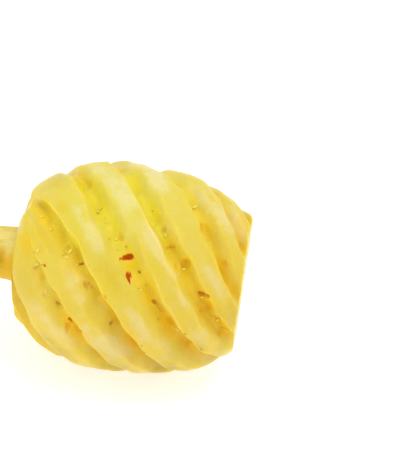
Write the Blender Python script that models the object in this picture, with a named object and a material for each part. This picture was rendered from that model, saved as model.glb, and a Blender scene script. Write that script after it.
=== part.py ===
"""A peeled pineapple lying on its side: the pared flesh with its spiral furrows, and the stalk.

The fruit's axis runs along X, the crown end at +X and the stalk at -X, and the floor is z = 0.
The skin was pared off, and the eyes were then cut out in rows along eight spirals. So eight
furrows wind round the flesh, and eight ridges with rounded tops stand between them.
Angles round the axis start at -Y and turn towards +Z.
"""

import math

import bmesh
import bpy
import numpy as np

# The pared fruit, in metres. Each shrink is the share of the radius lost by that end.
BELLY_RADIUS = 0.0450
HALF_LENGTH = 0.0480
BASE_SHRINK = 0.44
BASE_FULLNESS = 3.1
CROWN_SHRINK = 0.36
CROWN_FULLNESS = 2.33
BASE_END = -0.955
BASE_BULGE = 0.0034
SEAT_RADIUS = 0.0145
CORNER_ROUNDING = 0.0016

# The furrows and ridges. The furrows' turn round the axis is a cubic in u, which is 0 at the belly
# and 1 at the crown cut, and they lie closer together on one side. Each ridge ends in a lip at the base.
FURROWS = 8
FURROW_ANGLE = math.radians(-93.3)
FURROW_TURN = (-1.57, 0.11, -0.54)
CAP_TURN = 0.28
FURROW_DEPTH = 0.0070
FURROW_SHARE = 0.64
FURROW_CREASE = 0.12
CROWDING = 0.09
CROWDED_SIDE = math.radians(30)
RIDGE_LIP = 0.0006
TALL_LIP = 0.0016
TALL_LIP_COLUMN = 2.5
LIP_REACH = 0.0050
LIP_DROP = 0.0015

# The hollows that the eyes left in the furrows. The sway shifts them to and fro round the fruit.
EYES = 86
EYE_PHASE = 6.7
EYE_SWAY = 1.8
EYE_LENGTH = 0.0050
EYE_WIDTH = 0.0060
EYE_DEPTH = 0.0010

# How uneven the knife left it all.
UNEVEN_RADIUS = 0.0005
UNEVEN_PATH = 0.0008
UNEVEN_DEPTH = 0.12
SEED = 11

# The stalk.
STALK_LENGTH = 0.0550
STALK_RADIUS = 0.0117
STALK_TIP_RADIUS = 0.0106
STALK_FLARE = 0.0012
STALK_FLARE_REACH = 0.0050
STALK_DROP = 0.0016
STALK_BEND = 0.0022
STALK_FACETS = 6
STALK_FACET_DEPTH = 0.0007
STALK_CUT_LEAN = 0.10
STALK_CUT_ROUNDING = 0.0010
JOINT_GAP = 0.0003

# How the fruit lies. The ridges under it are pressed flat where they would reach below the floor.
AXIS_HEIGHT = 0.0440
BELLY_X = 0.0288

# How finely the ball that each piece starts from is divided.
FLESH_COLUMNS = 12 * FURROWS
FLESH_ROWS = {"crown face": 4, "side": 46, "base cap": 9}
STALK_COLUMNS = 36
STALK_ROWS = {"root face": 2, "side": 12, "cut face": 3}
LINE_STEPS = 1500

SEAT_X = BASE_END * HALF_LENGTH - BASE_BULGE
FLESH_COLOUR = (0.86, 0.66, 0.11, 1)
STALK_COLOUR = (0.78, 0.62, 0.18, 1)


def side_radius(u):
    """Radius before the furrows, at u from -1 at the base to 1 at the crown cut."""
    base = 1 - BASE_SHRINK * np.clip(-u, 0, 1) ** BASE_FULLNESS
    crown = 1 - CROWN_SHRINK * np.clip(u, 0, 1) ** CROWN_FULLNESS
    return BELLY_RADIUS * base * crown


def rounded(x, radius, rounding):
    """A half section with rounded corners, as the length along it, x and the radius.

    The line is read at even steps, and each point becomes the mean of the line around it.
    """
    run = np.concatenate([[0], np.cumsum(np.hypot(np.diff(x), np.diff(radius)))])
    even = np.linspace(0, run[-1], LINE_STEPS)
    reach = round(rounding / even[1])
    window = np.ones(2 * reach + 1) / (2 * reach + 1)
    x = np.pad(np.interp(even, run, x), reach, mode="edge")
    radius = np.pad(np.interp(even, run, radius), reach, mode="reflect", reflect_type="odd")
    return even, np.convolve(x, window, "valid"), np.convolve(radius, window, "valid")


def flesh_outline():
    """Half section of the flesh: from the middle of the crown cut along the side to the stalk's seat.

    With it come the lengths along it at which the side, the base cap and the seat start.
    """
    part = np.linspace(0, 1, 300)
    side = 1 + (BASE_END - 1) * part
    rim, shoulder = side_radius(1.0), side_radius(BASE_END)
    x = [
        np.full_like(part, HALF_LENGTH),
        HALF_LENGTH * side,
        BASE_END * HALF_LENGTH - BASE_BULGE * np.sin(part * math.pi / 2),
        np.full_like(part, SEAT_X),
    ]
    radius = [
        rim * part,
        side_radius(side),
        shoulder + (SEAT_RADIUS - shoulder) * part,
        SEAT_RADIUS * (1 - part),
    ]
    line = rounded(np.concatenate(x), np.concatenate(radius), CORNER_ROUNDING)
    seat = line[0][-1] - SEAT_RADIUS
    cap = np.hypot(np.diff(x[2]), np.diff(radius[2])).sum()
    return line, (rim, seat - cap, seat)


def furrow_turn(u, cap):
    """Angle round the axis of furrow 0 at u, and at cap, which runs from 0 to 1 over the base cap."""
    first, second, third = FURROW_TURN
    along = first * u + second * u**2 + third * u**3
    return FURROW_ANGLE + along + CAP_TURN * (2 * cap - cap**2)


def waves(around, along, seed):
    """An uneven field of about -1 to 1: a sum of sines that close up round the fruit."""
    draw = np.random.default_rng(seed)
    total = 0
    for _ in range(5):
        turns, swings, start = draw.integers(1, 5), draw.uniform(-9, 9), draw.uniform(0, 2 * math.pi)
        total = total + np.sin(turns * around + swings * along + start)
    return total / math.sqrt(5)


def furrow_cut(from_furrow):
    """Depth of a furrow as a share, from 1 at its bottom line to 0 on the ridge, at from_furrow 1.

    up = from_furrow / FURROW_SHARE climbs the wall, whose height 3 up^2 - 2 up^3 is steepest halfway
    and rounds into the ridge; a share of up itself is mixed in, for the crease along the bottom.
    """
    up = np.clip(from_furrow / FURROW_SHARE, 0, 1)
    return 1 - (1 - FURROW_CREASE) * (3 * up**2 - 2 * up**3) - FURROW_CREASE * (2 * up - up**2)


def eye_hollow(column, along):
    """1 at the middle of an eye's hollow, fading to 0 around it; along runs from 0 at the base to 1.

    The eyes follow one another round the fruit 137.5 degrees apart, so that eye n lies on furrow -3n
    modulo 8, at n / EYES of the way along, and each furrow meets every eighth eye.
    """
    furrow = np.round(column)
    first = EYE_PHASE - EYE_SWAY * np.sin(2 * math.pi * (furrow - 3) / FURROWS)
    from_eye = (along * EYES - first + 3 * furrow) / FURROWS
    eye_step = 2 * HALF_LENGTH * FURROWS / EYES * math.hypot(1, FURROW_TURN[0])
    lengthwise = (from_eye - np.round(from_eye)) * eye_step / EYE_LENGTH
    crosswise = (column - furrow) * 2 * math.pi * BELLY_RADIUS / FURROWS / EYE_WIDTH
    return np.exp(-(lengthwise**2) - crosswise**2)


def flesh_points(column, run):
    """Points of the flesh at a column round it, from 0 to FURROWS, and a run along its outline."""
    (length, line_x, line_radius), (rim, shoulder, seat) = flesh_outline()
    x = np.interp(run, length, line_x)
    radius = np.interp(run, length, line_radius)
    out_x = np.interp(run, length, np.gradient(line_radius, length))
    out_radius = -np.interp(run, length, np.gradient(line_x, length))
    out_x = out_x * np.clip((run - rim) / LIP_REACH, 0, 1)
    out_radius = np.where(run < rim, 1, out_radius)
    steep = np.hypot(out_x, out_radius)

    along = np.clip((shoulder - run) / (shoulder - rim), 0, 1)
    cap = np.clip((run - shoulder) / (seat - shoulder), 0, 1)
    around = column * 2 * math.pi / FURROWS
    size = radius / BELLY_RADIUS * (1 - cap**3)
    cut = furrow_cut(2 * np.abs(column - np.round(column)))
    depth = FURROW_DEPTH * cut * (1 + UNEVEN_DEPTH * waves(around, along, SEED))
    hollow = EYE_DEPTH * eye_hollow(column, along)
    swell = UNEVEN_RADIUS * waves(around, along, SEED + 1)
    before = np.clip(shoulder - run, 0, None) / LIP_REACH
    beyond = np.clip(run - shoulder, 0, None) / LIP_DROP
    tall = TALL_LIP * np.exp(-((column - TALL_LIP_COLUMN) ** 2) / 0.2)
    lip = (RIDGE_LIP + tall) * (1 - cut) * np.exp(-(before**2) - beyond**2)
    out = size * (swell - depth - hollow) + lip

    angle = around + furrow_turn(np.clip(x / HALF_LENGTH, BASE_END, 1), cap)
    angle = angle + UNEVEN_PATH / BELLY_RADIUS * waves(around, along, SEED + 2)
    angle = angle - CROWDING * np.sin(angle - CROWDED_SIDE)
    x = x + out * out_x / steep
    radius = radius + out * out_radius / steep
    z = np.maximum(radius * np.sin(angle), -AXIS_HEIGHT)
    return np.stack([x, -radius * np.cos(angle), z], axis=-1)


def stalk_outline():
    """Half section of the stalk from the middle of its root face to the middle of its cut end."""
    part = np.linspace(0, 1, 300)
    root = SEAT_X - JOINT_GAP
    side = STALK_RADIUS + (STALK_TIP_RADIUS - STALK_RADIUS) * part
    side = side + STALK_FLARE * np.exp(-part * STALK_LENGTH / STALK_FLARE_REACH)
    x = [np.full_like(part, root), root - STALK_LENGTH * part, np.full_like(part, root - STALK_LENGTH)]
    radius = [side[0] * part, side, side[-1] * (1 - part)]
    line = rounded(np.concatenate(x), np.concatenate(radius), STALK_CUT_ROUNDING)
    return line, (side[0], line[0][-1] - side[-1])


def stalk_points(column, run):
    """Points of the stalk at a column round it, from 0 to 1, and a run along its outline.

    The knife left it with flat sides. It bows down and forward a little, and its cut end leans.
    """
    (length, line_x, line_radius), _ = stalk_outline()
    x = np.interp(run, length, line_x)
    radius = np.interp(run, length, line_radius)
    beyond = (line_x[0] - x) / STALK_LENGTH
    angle = column * 2 * math.pi
    flats = np.abs(np.sin(STALK_FACETS / 2 * angle + 2 * beyond))
    radius = radius * (1 - STALK_FACET_DEPTH / STALK_RADIUS * flats * np.clip(4 * beyond, 0, 1))
    drop = STALK_DROP + STALK_BEND * beyond**2
    y = -radius * np.cos(angle) - drop * math.sin(CROWDED_SIDE)
    z = radius * np.sin(angle) - drop * math.cos(CROWDED_SIDE)
    return np.stack([x + STALK_CUT_LEAN * beyond * radius * np.sin(angle), y, z], axis=-1)


def material(name, colour, roughness):
    """A plain Principled material."""
    made = bpy.data.materials.new(name)
    made.use_nodes = True
    shader = made.node_tree.nodes["Principled BSDF"]
    shader.inputs["Base Color"].default_value = colour
    shader.inputs["Roughness"].default_value = roughness
    shader.inputs["Metallic"].default_value = 0.0
    return made


def moulded_ball(name, columns, runs, points, finish, collection):
    """A ball whose every vertex moves to the place that points gives for its column and row.

    The ball's north pole is the middle of the first row and its south pole the middle of the last.
    """
    bm = bmesh.new()
    bands = len(runs) - 1
    bmesh.ops.create_uvsphere(bm, u_segments=columns, v_segments=bands, radius=1)
    ball = np.array([vertex.co for vertex in bm.verts])
    turn = np.arctan2(ball[:, 1], ball[:, 0]) / (2 * math.pi)
    row = np.arccos(np.clip(ball[:, 2], -1, 1)) / math.pi * bands
    for vertex, place in zip(bm.verts, points(turn % 1, runs[np.round(row).astype(int)])):
        vertex.co = place
    bmesh.ops.triangulate(bm, faces=bm.faces, quad_method="SHORT_EDGE")
    bmesh.ops.recalc_face_normals(bm, faces=bm.faces)
    mesh = bpy.data.meshes.new(name)
    bm.to_mesh(mesh)
    bm.free()
    mesh.shade_smooth()
    mesh.materials.append(finish)
    made = bpy.data.objects.new(name, mesh)
    collection.objects.link(made)
    return made


def make_flesh(collection):
    """The pared fruit as one solid."""
    line, (rim, shoulder, seat) = flesh_outline()
    runs = [
        np.linspace(0, rim, FLESH_ROWS["crown face"], endpoint=False),
        np.linspace(rim, shoulder, FLESH_ROWS["side"], endpoint=False),
        np.linspace(shoulder, seat, FLESH_ROWS["base cap"], endpoint=False),
        [seat, line[0][-1]],
    ]

    def points(turn, run):
        return flesh_points(turn * FURROWS, run)

    finish = material("pineapple flesh", FLESH_COLOUR, 0.35)
    return moulded_ball("flesh", FLESH_COLUMNS, np.concatenate(runs), points, finish, collection)


def make_stalk(collection):
    """The stalk as one solid, clear of its seat by the joint gap."""
    line, (root_rim, cut_rim) = stalk_outline()
    runs = [
        np.linspace(0, root_rim, STALK_ROWS["root face"], endpoint=False),
        np.linspace(root_rim, cut_rim, STALK_ROWS["side"], endpoint=False),
        np.linspace(cut_rim, line[0][-1], STALK_ROWS["cut face"]),
    ]
    finish = material("pineapple stalk", STALK_COLOUR, 0.5)
    return moulded_ball("stalk", STALK_COLUMNS, np.concatenate(runs), stalk_points, finish, collection)


def main():
    for old in list(bpy.data.objects):
        bpy.data.objects.remove(old, do_unlink=True)
    collection = bpy.data.collections.new("peeled_pineapple")
    bpy.context.scene.collection.children.link(collection)
    belly = bpy.data.objects.new("belly", None)
    belly.location = (BELLY_X, 0, AXIS_HEIGHT)
    collection.objects.link(belly)
    for piece in (make_flesh(collection), make_stalk(collection)):
        piece.parent = belly


main()
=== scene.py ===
# %% [markdown]
# # A peeled pineapple
#
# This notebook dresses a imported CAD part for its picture. The part is a pineapple lying on its side:
# the skin is pared off, the eyes are cut out along eight spiral furrows, and a short stalk is left on.
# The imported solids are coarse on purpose. Here each of them gets a fine surface of the same form,
# with the hollows, pits and fibres that the knife and the fruit leave, and a material to match.

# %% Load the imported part
import math

import bpy
import numpy as np
from mathutils import Euler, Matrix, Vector


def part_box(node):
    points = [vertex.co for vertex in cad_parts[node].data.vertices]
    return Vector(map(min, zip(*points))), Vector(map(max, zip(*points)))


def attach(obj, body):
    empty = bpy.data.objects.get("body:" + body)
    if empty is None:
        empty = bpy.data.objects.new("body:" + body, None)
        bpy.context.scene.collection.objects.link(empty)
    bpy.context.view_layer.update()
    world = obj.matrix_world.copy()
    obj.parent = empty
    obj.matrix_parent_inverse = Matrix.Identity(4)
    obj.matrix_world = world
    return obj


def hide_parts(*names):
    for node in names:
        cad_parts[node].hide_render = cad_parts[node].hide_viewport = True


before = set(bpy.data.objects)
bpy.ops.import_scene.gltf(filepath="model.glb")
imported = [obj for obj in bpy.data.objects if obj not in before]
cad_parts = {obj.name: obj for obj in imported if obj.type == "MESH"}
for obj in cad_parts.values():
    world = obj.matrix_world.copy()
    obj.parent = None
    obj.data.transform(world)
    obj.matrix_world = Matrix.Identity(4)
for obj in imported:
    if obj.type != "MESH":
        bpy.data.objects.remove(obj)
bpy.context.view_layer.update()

flesh_low, flesh_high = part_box("flesh")
stalk_low, stalk_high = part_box("stalk")


def mm(metres):
    """A length in millimetres, rounded for printing."""
    return round(float(metres) * 1000, 2)


print("flesh from x", mm(flesh_low.x), "to", mm(flesh_high.x), "mm")
print("stalk from x", mm(stalk_low.x), "to", mm(stalk_high.x), "mm")

# %% [markdown]
# ## The camera
#
# The camera comes first, because some details are placed where the photograph shows them. It looks
# down at the fruit from the front, at about 30 degrees, with a long lens from 60 centimetres away.
# Blender gives the sensor width to the longer side of the picture, which is the height here.

# %% Camera
FRAME_WIDTH, FRAME_HEIGHT = 400, 457
CAMERA_PLACE = np.array([0.0841, -0.5074, 0.3613])
CAMERA_TURN = Euler([math.radians(angle) for angle in (59.85, -6.05, 6.73)])
CAMERA_LENS, SENSOR = 110.3, 36.0


def new_object(name, data):
    """An object that shows a mesh, or carries a camera or a lamp, in the scene."""
    made = bpy.data.objects.new(name, data)
    bpy.context.collection.objects.link(made)
    return made


camera = new_object("camera", bpy.data.cameras.new("camera"))
camera.location, camera.rotation_euler = CAMERA_PLACE, CAMERA_TURN
camera.data.lens, camera.data.sensor_width = CAMERA_LENS, SENSOR
bpy.context.scene.camera = camera
CAMERA_AXES = np.array(CAMERA_TURN.to_matrix())
PHOTO_RIGHT = CAMERA_AXES[:, 0]
print("camera", mm(np.linalg.norm(CAMERA_PLACE)), "mm from the fruit's place on the floor")

# %% [markdown]
# ## The studio
#
# The photograph is bright and nearly without shadows, on white. So the room is a white world, which
# lights the fruit from all sides, one large soft lamp hangs over it and a weaker one stands in
# front. The floor is a white light table, which glows a little itself. So the fruit's underside stays
# bright and only a faint soft shadow is left under it. The Standard view shows colours as they are
# worked out, where Blender's usual one would turn the white grey.

# %% World, lamps and floor
WORLD_STRENGTH, FLOOR_GLOW, FLOOR_GREY, FLOOR_SIDE = 0.91, 0.60, 0.62, 8.0
# Each lamp: its place, the side of its square in metres, its power in watts and its colour.
LAMPS = {
    "top lamp": ((0.20, -0.12, 0.70), 0.30, 1.45, (1.0, 0.995, 0.97)),
    "front lamp": ((-0.50, -0.58, 0.16), 0.40, 0.8, (1.0, 0.99, 0.96)),
}
AIM = Vector((0.02, 0.0, 0.045))


def plain_material(name, colour, roughness, others=None):
    """A Principled material of one colour; others holds more of its sockets, by name and value."""
    made = bpy.data.materials.new(name)
    made.use_nodes = True
    sockets = made.node_tree.nodes["Principled BSDF"].inputs
    for key, value in {"Base Color": (*colour, 1), "Roughness": roughness, **(others or {})}.items():
        sockets[key].default_value = value
    return made


world = bpy.data.worlds.new("white room")
world.use_nodes = True
sky = world.node_tree.nodes["Background"].inputs
sky["Color"].default_value, sky["Strength"].default_value = (1, 1, 1, 1), WORLD_STRENGTH
bpy.context.scene.world = world
bpy.context.scene.view_settings.view_transform = "Standard"

for name, (place, side, power, colour) in LAMPS.items():
    lamp = new_object(name, bpy.data.lights.new(name, "AREA"))
    lamp.location = place
    lamp.rotation_euler = (lamp.location - AIM).to_track_quat("Z", "Y").to_euler()
    lamp.data.size, lamp.data.energy, lamp.data.color = side, power, colour

half = FLOOR_SIDE / 2
corners = [(-half, -half, 0), (half, -half, 0), (half, half, 0), (-half, half, 0)]
floor_mesh = bpy.data.meshes.new("floor")
floor_mesh.from_pydata(corners, [], [(0, 1, 2, 3)])
floor_mesh.materials.append(plain_material("pale floor", (FLOOR_GREY,) * 3, 0.7, {
    "Emission Color": (1, 1, 1, 1), "Emission Strength": FLOOR_GLOW}))
floor = new_object("floor", floor_mesh)
print("studio:", len(LAMPS), "lamps and a floor", FLOOR_SIDE, "m wide")

# %% [markdown]
# ## From a grid of points to a mesh
#
# Every piece here is a surface worked out with numpy: a grid of points with one row for each step
# along the piece and one column for each step round it. The rows close up into rings, and the first
# and last rows shrink to single points, the poles. So the surface is closed, like a globe with its
# lines of longitude and latitude. foreach_set copies whole arrays into the mesh, which is far faster
# than making one vertex at a time.


# %% Grid helpers
def slopes(grid):
    """Steps of a closed grid along its rows and round its columns, by central differences."""
    return np.gradient(grid, axis=0), np.roll(grid, -1, axis=1) - np.roll(grid, 1, axis=1)


def unit(vectors):
    """Each vector divided by its length."""
    return vectors / np.maximum(np.linalg.norm(vectors, axis=-1, keepdims=True), 1e-12)


def outward(grid):
    """Unit normals of a closed grid: the cross product of its steps round a row and down a column."""
    down, round_ = slopes(grid)
    return unit(np.cross(round_, down))


def with_poles(grid):
    """A grid's points as one list: the mean of its first row, all rows between, that of its last."""
    inner = grid[1:-1].reshape(-1, grid.shape[-1])
    return np.concatenate([grid[:1].mean(1), inner, grid[-1:].mean(1)])


def globe_faces(rows, columns):
    """Corner numbers of the triangles round the two poles and of the quads between the rows."""
    ring = np.arange(columns)
    after = (ring + 1) % columns
    row = 1 + columns * np.arange(rows - 3)[:, None]
    last = 1 + columns * (rows - 3)
    north = np.stack([1 + after, 1 + ring, np.zeros_like(ring)], -1)
    south = np.stack([last + ring, last + after, np.full_like(ring, last + columns)], -1)
    quads = np.stack([row + ring, row + after, row + columns + after, row + columns + ring], -1)
    return np.concatenate([north, south]), quads.reshape(-1, 4)


def make_piece(name, points, triangles, quads, finish, values):
    """An object whose smooth mesh has these points and faces; values are kept as mesh attributes."""
    mesh = bpy.data.meshes.new(name)
    mesh.vertices.add(len(points))
    mesh.vertices.foreach_set("co", points.ravel())
    corners = np.concatenate([triangles.ravel(), quads.ravel()]).astype(np.int32)
    sizes = np.concatenate([np.full(len(triangles), 3), np.full(len(quads), 4)])
    mesh.loops.add(len(corners))
    mesh.loops.foreach_set("vertex_index", corners)
    mesh.polygons.add(len(sizes))
    mesh.polygons.foreach_set("loop_start", (np.cumsum(sizes) - sizes).astype(np.int32))
    mesh.update(calc_edges=True)
    mesh.shade_smooth()
    for key, value in values.items():
        kind, field = ("FLOAT", "value") if value.shape[-1] == 1 else ("FLOAT_VECTOR", "vector")
        layer = mesh.attributes.new(key, kind, "POINT")
        layer.data.foreach_set(field, value.ravel().astype(np.float32))
    mesh.materials.append(finish)
    print(name, "has", len(sizes), "faces, valid as made:", not mesh.validate())
    return new_object(name, mesh)


def globe_piece(name, grid, finish, values):
    """One closed surface from a grid, with the grid's own named values."""
    values = {key: with_poles(value.reshape(*grid.shape[:2], -1)) for key, value in values.items()}
    return make_piece(name, with_poles(grid), *globe_faces(*grid.shape[:2]), finish, values)


# %% [markdown]
# ## Unevenness from a table of random numbers
#
# A knife never leaves a perfect surface. Value noise is the plainest way to make such unevenness:
# a block of random numbers is laid through space, and between its corners the numbers are blended
# smoothly. The same seed gives the same fruit each time.


# %% Noise in space
NOISE_SIDE = 32


def lumps(points, size, seed):
    """Smooth noise of -1 to 1 whose lumps are about size metres across, at every point at once.

    Each point falls in a cell of the block. Its value is the mean of the cell's eight corners, each
    weighed by how near it is along x, y and z, with t squared times (3 - 2 t) as the blend.
    """
    block = np.random.default_rng(seed).uniform(-1, 1, (NOISE_SIDE,) * 3)
    cell = np.floor(points / size).astype(int)
    part = points / size - cell
    part = part * part * (3 - 2 * part)
    total = np.zeros(points.shape[:-1])
    for corner in np.ndindex(2, 2, 2):
        weight = np.prod(np.where(corner, part, 1 - part), axis=-1)
        at = (cell + corner) % NOISE_SIDE
        total += weight * block[at[..., 0], at[..., 1], at[..., 2]]
    return total


def step(low, high, value):
    """0 below low, 1 above high, and a smooth step between them."""
    part = np.clip((value - low) / (high - low), 0, 1)
    return part * part * (3 - 2 * part)


print("noise repeats every", NOISE_SIDE, "lumps")

# %% [markdown]
# ## The form of the pared fruit
#
# The CAD source worked the flesh out from named sizes. Those sizes, and its formulas for the half
# section and the furrows' course, are repeated here, because this script can't read that file. The
# half section turns round the axis: from the middle of the crown cut, out over its rim, along the
# side, over the base and in to the seat of the stalk. Eight furrows wind round it, and they are what
# makes it a pineapple.

# %% Sizes of the flesh, as in the CAD source
BELLY_RADIUS = 0.0450
HALF_LENGTH = 0.0480
BASE_SHRINK, BASE_FULLNESS = 0.44, 3.1
CROWN_SHRINK, CROWN_FULLNESS = 0.36, 2.33
BASE_END, BASE_BULGE = -0.955, 0.0034
SEAT_RADIUS = 0.0145
CORNER_ROUNDING = 0.0016
FURROWS = 8
FURROW_ANGLE = math.radians(-93.3)
FURROW_TURN = (-1.57, 0.11, -0.54)
CAP_TURN = 0.28
FURROW_DEPTH = 0.0070
CROWDING, CROWDED_SIDE = 0.09, math.radians(30)
RIDGE_LIP = 0.0006
LIP_REACH, LIP_DROP = 0.0050, 0.0015
EYES, EYE_PHASE, EYE_SWAY = 86, 6.7, 1.8
EYE_LENGTH, EYE_WIDTH, EYE_DEPTH = 0.0050, 0.0060, 0.0010
UNEVEN_RADIUS, UNEVEN_PATH, UNEVEN_DEPTH, SEED = 0.0005, 0.0008, 0.12, 11
AXIS_HEIGHT = 0.0440
BELLY_X = flesh_high.x - HALF_LENGTH
SECTION_STEPS, LINE_STEPS = 300, 1500
SEAT_X = BASE_END * HALF_LENGTH - BASE_BULGE


def side_radius(u):
    """Radius before the furrows, at u from -1 at the base to 1 at the crown cut."""
    base = 1 - BASE_SHRINK * np.clip(-u, 0, 1) ** BASE_FULLNESS
    crown = 1 - CROWN_SHRINK * np.clip(u, 0, 1) ** CROWN_FULLNESS
    return BELLY_RADIUS * base * crown


def rounded(x, radius, rounding):
    """A half section with rounded corners, as the length along it, x and the radius.

    The line is read at even steps, and each point becomes the mean of the line around it.
    """
    run = np.concatenate([[0], np.cumsum(np.hypot(np.diff(x), np.diff(radius)))])
    even = np.linspace(0, run[-1], LINE_STEPS)
    reach = round(rounding / even[1])
    window = np.ones(2 * reach + 1) / (2 * reach + 1)
    x = np.pad(np.interp(even, run, x), reach, mode="edge")
    radius = np.pad(np.interp(even, run, radius), reach, mode="reflect", reflect_type="odd")
    return even, np.convolve(x, window, "valid"), np.convolve(radius, window, "valid")


def flesh_outline():
    """Half section of the flesh, from the middle of the crown cut along the side to the stalk's seat.

    With it come the lengths along it at which the side, the base cap and the seat start.
    """
    part = np.linspace(0, 1, SECTION_STEPS)
    side = 1 + (BASE_END - 1) * part
    rim, shoulder = side_radius(1.0), side_radius(BASE_END)
    cap_x = BASE_END * HALF_LENGTH - BASE_BULGE * np.sin(part * math.pi / 2)
    cap_radius = shoulder + (SEAT_RADIUS - shoulder) * part
    x = [np.full_like(part, HALF_LENGTH), HALF_LENGTH * side, cap_x, np.full_like(part, SEAT_X)]
    radius = [rim * part, side_radius(side), cap_radius, SEAT_RADIUS * (1 - part)]
    line = rounded(np.concatenate(x), np.concatenate(radius), CORNER_ROUNDING)
    seat = line[0][-1] - SEAT_RADIUS
    cap = np.hypot(np.diff(cap_x), np.diff(cap_radius)).sum()
    return line, rim, seat - cap, seat


OUTLINE, RIM, SHOULDER, SEAT = flesh_outline()
print("outline", mm(OUTLINE[0][-1]), "mm long, side from", mm(RIM), "to", mm(SHOULDER), "mm")


# %% [markdown]
# ## How the furrows stray
#
# A hand cuts no two furrows alike. Some of those in front swerve aside near the base, or bend on
# their way. A furrow leans when its one wall is steep and its other one a long slope, and some
# stretches are shallow or have a broad floor. The solid has the furrows' mean form; these values
# give each its own.

# %% Strays of the furrows
# For each furrow: how many columns it swerves aside at the base; its lean near the base and near
# the crown, from -1 with the steep wall on its left to 1 with it on its right; its width and its
# depth as shares of the solid's.
FURROW_SWERVE = (-0.60, -0.33, -0.58, 0.00, 0.00, 0.00, 0.00, -0.30)
BASE_LEAN = (0.8, 0.8, 0.9, 0.1, -0.8, -0.8, -0.6, 0.0)
CROWN_LEAN = (0.8, 0.9, 0.9, 0.9, 0.4, -0.8, -0.6, 0.0)
FURROW_WIDTH = (1.00, 0.80, 1.00, 1.15, 0.95, 0.95, 0.90, 1.00)
FURROW_FILL = (0.90, 0.62, 0.90, 0.90, 0.80, 0.78, 0.78, 0.88)
SWERVE_REACH = 0.25
# Each stretch below starts with its furrow, how far along the side it lies, and its reach. Last
# comes the share of depth it lacks, how many columns it bends aside, or half its floor's width.
SHALLOWS = [(1, 0.18, 0.22, 0.28), (1, 0.00, 0.14, 0.42), (2, 0.00, 0.07, 0.65), (3, 0.06, 0.13, 0.45),
            (3, 0.04, 0.26, 0.40), (3, 0.48, 0.15, 0.42), (4, 0.42, 0.16, 0.35), (5, 0.60, 0.25, 0.38),
            (6, 0.70, 0.20, 0.35)]
BENDS = [(1, 0.32, 0.15, 0.16), (2, 0.30, 0.06, 0.08), (4, 0.56, 0.14, -0.12), (5, 0.55, 0.10, -0.10)]
BROADS = [(2, 0.16, 0.08, 0.08), (3, 0.36, 0.08, 0.06), (4, 0.52, 0.10, 0.07), (4, 0.80, 0.08, 0.08),
          (5, 0.80, 0.08, 0.08)]
STRETCH_COLUMNS = 0.45
FURROW_BLEND = (0.25, 0.75)


def furrow_values(values, column):
    """At each column, the value of its furrow; over the ridges it blends into the next furrow's."""
    below = np.floor(column)
    part = step(*FURROW_BLEND, column - below)
    values, below = np.array(values), below.astype(int)
    return values[below % FURROWS] * (1 - part) + values[(below + 1) % FURROWS] * part


def at_stretches(stretches, column, along):
    """The sum of the last values of all stretches of furrows, each a bell curve round its place."""
    total = np.zeros(np.shape(along))
    for furrow, at, reach, value in stretches:
        across = (column - furrow + FURROWS / 2) % FURROWS - FURROWS / 2
        total = total + value * np.exp(-(((along - at) / reach) ** 2) - (across / STRETCH_COLUMNS) ** 2)
    return total


def furrow_fill(column, along):
    """Depth of a furrow along its course, as a share of the solid's depth."""
    return furrow_values(FURROW_FILL, column) - at_stretches(SHALLOWS, column, along)


print("furrow 3 halfway along has", round(float(furrow_fill(3.0, 0.5)), 2), "of the solid's depth")


# %% The eyes along the furrows
EYE_SHIFT, SWAY_FURROW = 3, 3


def eye_along(furrow, index):
    """How far along the side, from 0 at the base to 1, the eye of that index lies on a furrow.

    The eyes follow one another round the fruit 137.5 degrees apart, so each furrow meets every
    eighth of them; the sway shifts them to and fro round the fruit.
    """
    phase = EYE_PHASE - EYE_SWAY * np.sin(2 * math.pi * (furrow - SWAY_FURROW) / FURROWS)
    return (FURROWS * index + phase - EYE_SHIFT * furrow) / EYES


def eye_hollow(column, along, length=EYE_LENGTH, width=EYE_WIDTH):
    """1 at the middle of an eye's hollow, fading to 0 around it as a bell curve."""
    furrow = np.round(column)
    from_eye = (along - eye_along(furrow, 0)) * EYES / FURROWS
    eye_step = 2 * HALF_LENGTH * FURROWS / EYES * math.hypot(1, FURROW_TURN[0])
    lengthwise = (from_eye - np.round(from_eye)) * eye_step / length
    crosswise = (column - furrow) * 2 * math.pi * BELLY_RADIUS / FURROWS / width
    return np.exp(-(lengthwise**2) - crosswise**2)


print("the eyes of a furrow lie", round(FURROWS / EYES, 3), "of the side apart")


# %% [markdown]
# ## A furrow's cut, and the whole surface
#
# Seen across, a furrow is a narrow floor between two walls. Its depth is worked out as a share of
# the full depth, for every point at once, and the half section is then pushed in by that much along
# its own normal. Sums of a few sine waves add the large unevenness. They are worked out from the
# column and the run alone, and because whole waves go round the fruit, they close up without a seam.

# %% A furrow's cut
LEAN_TURNS = (0.52, 0.72)
FLOOR_WIDTH, WALL_WIDTH, SHORTEST_WALL, LEAN_WIDTH = 0.02, 0.31, 0.10, 0.17
SCALLOP, SCALLOP_LENGTH = 0.26, 0.0062


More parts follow.
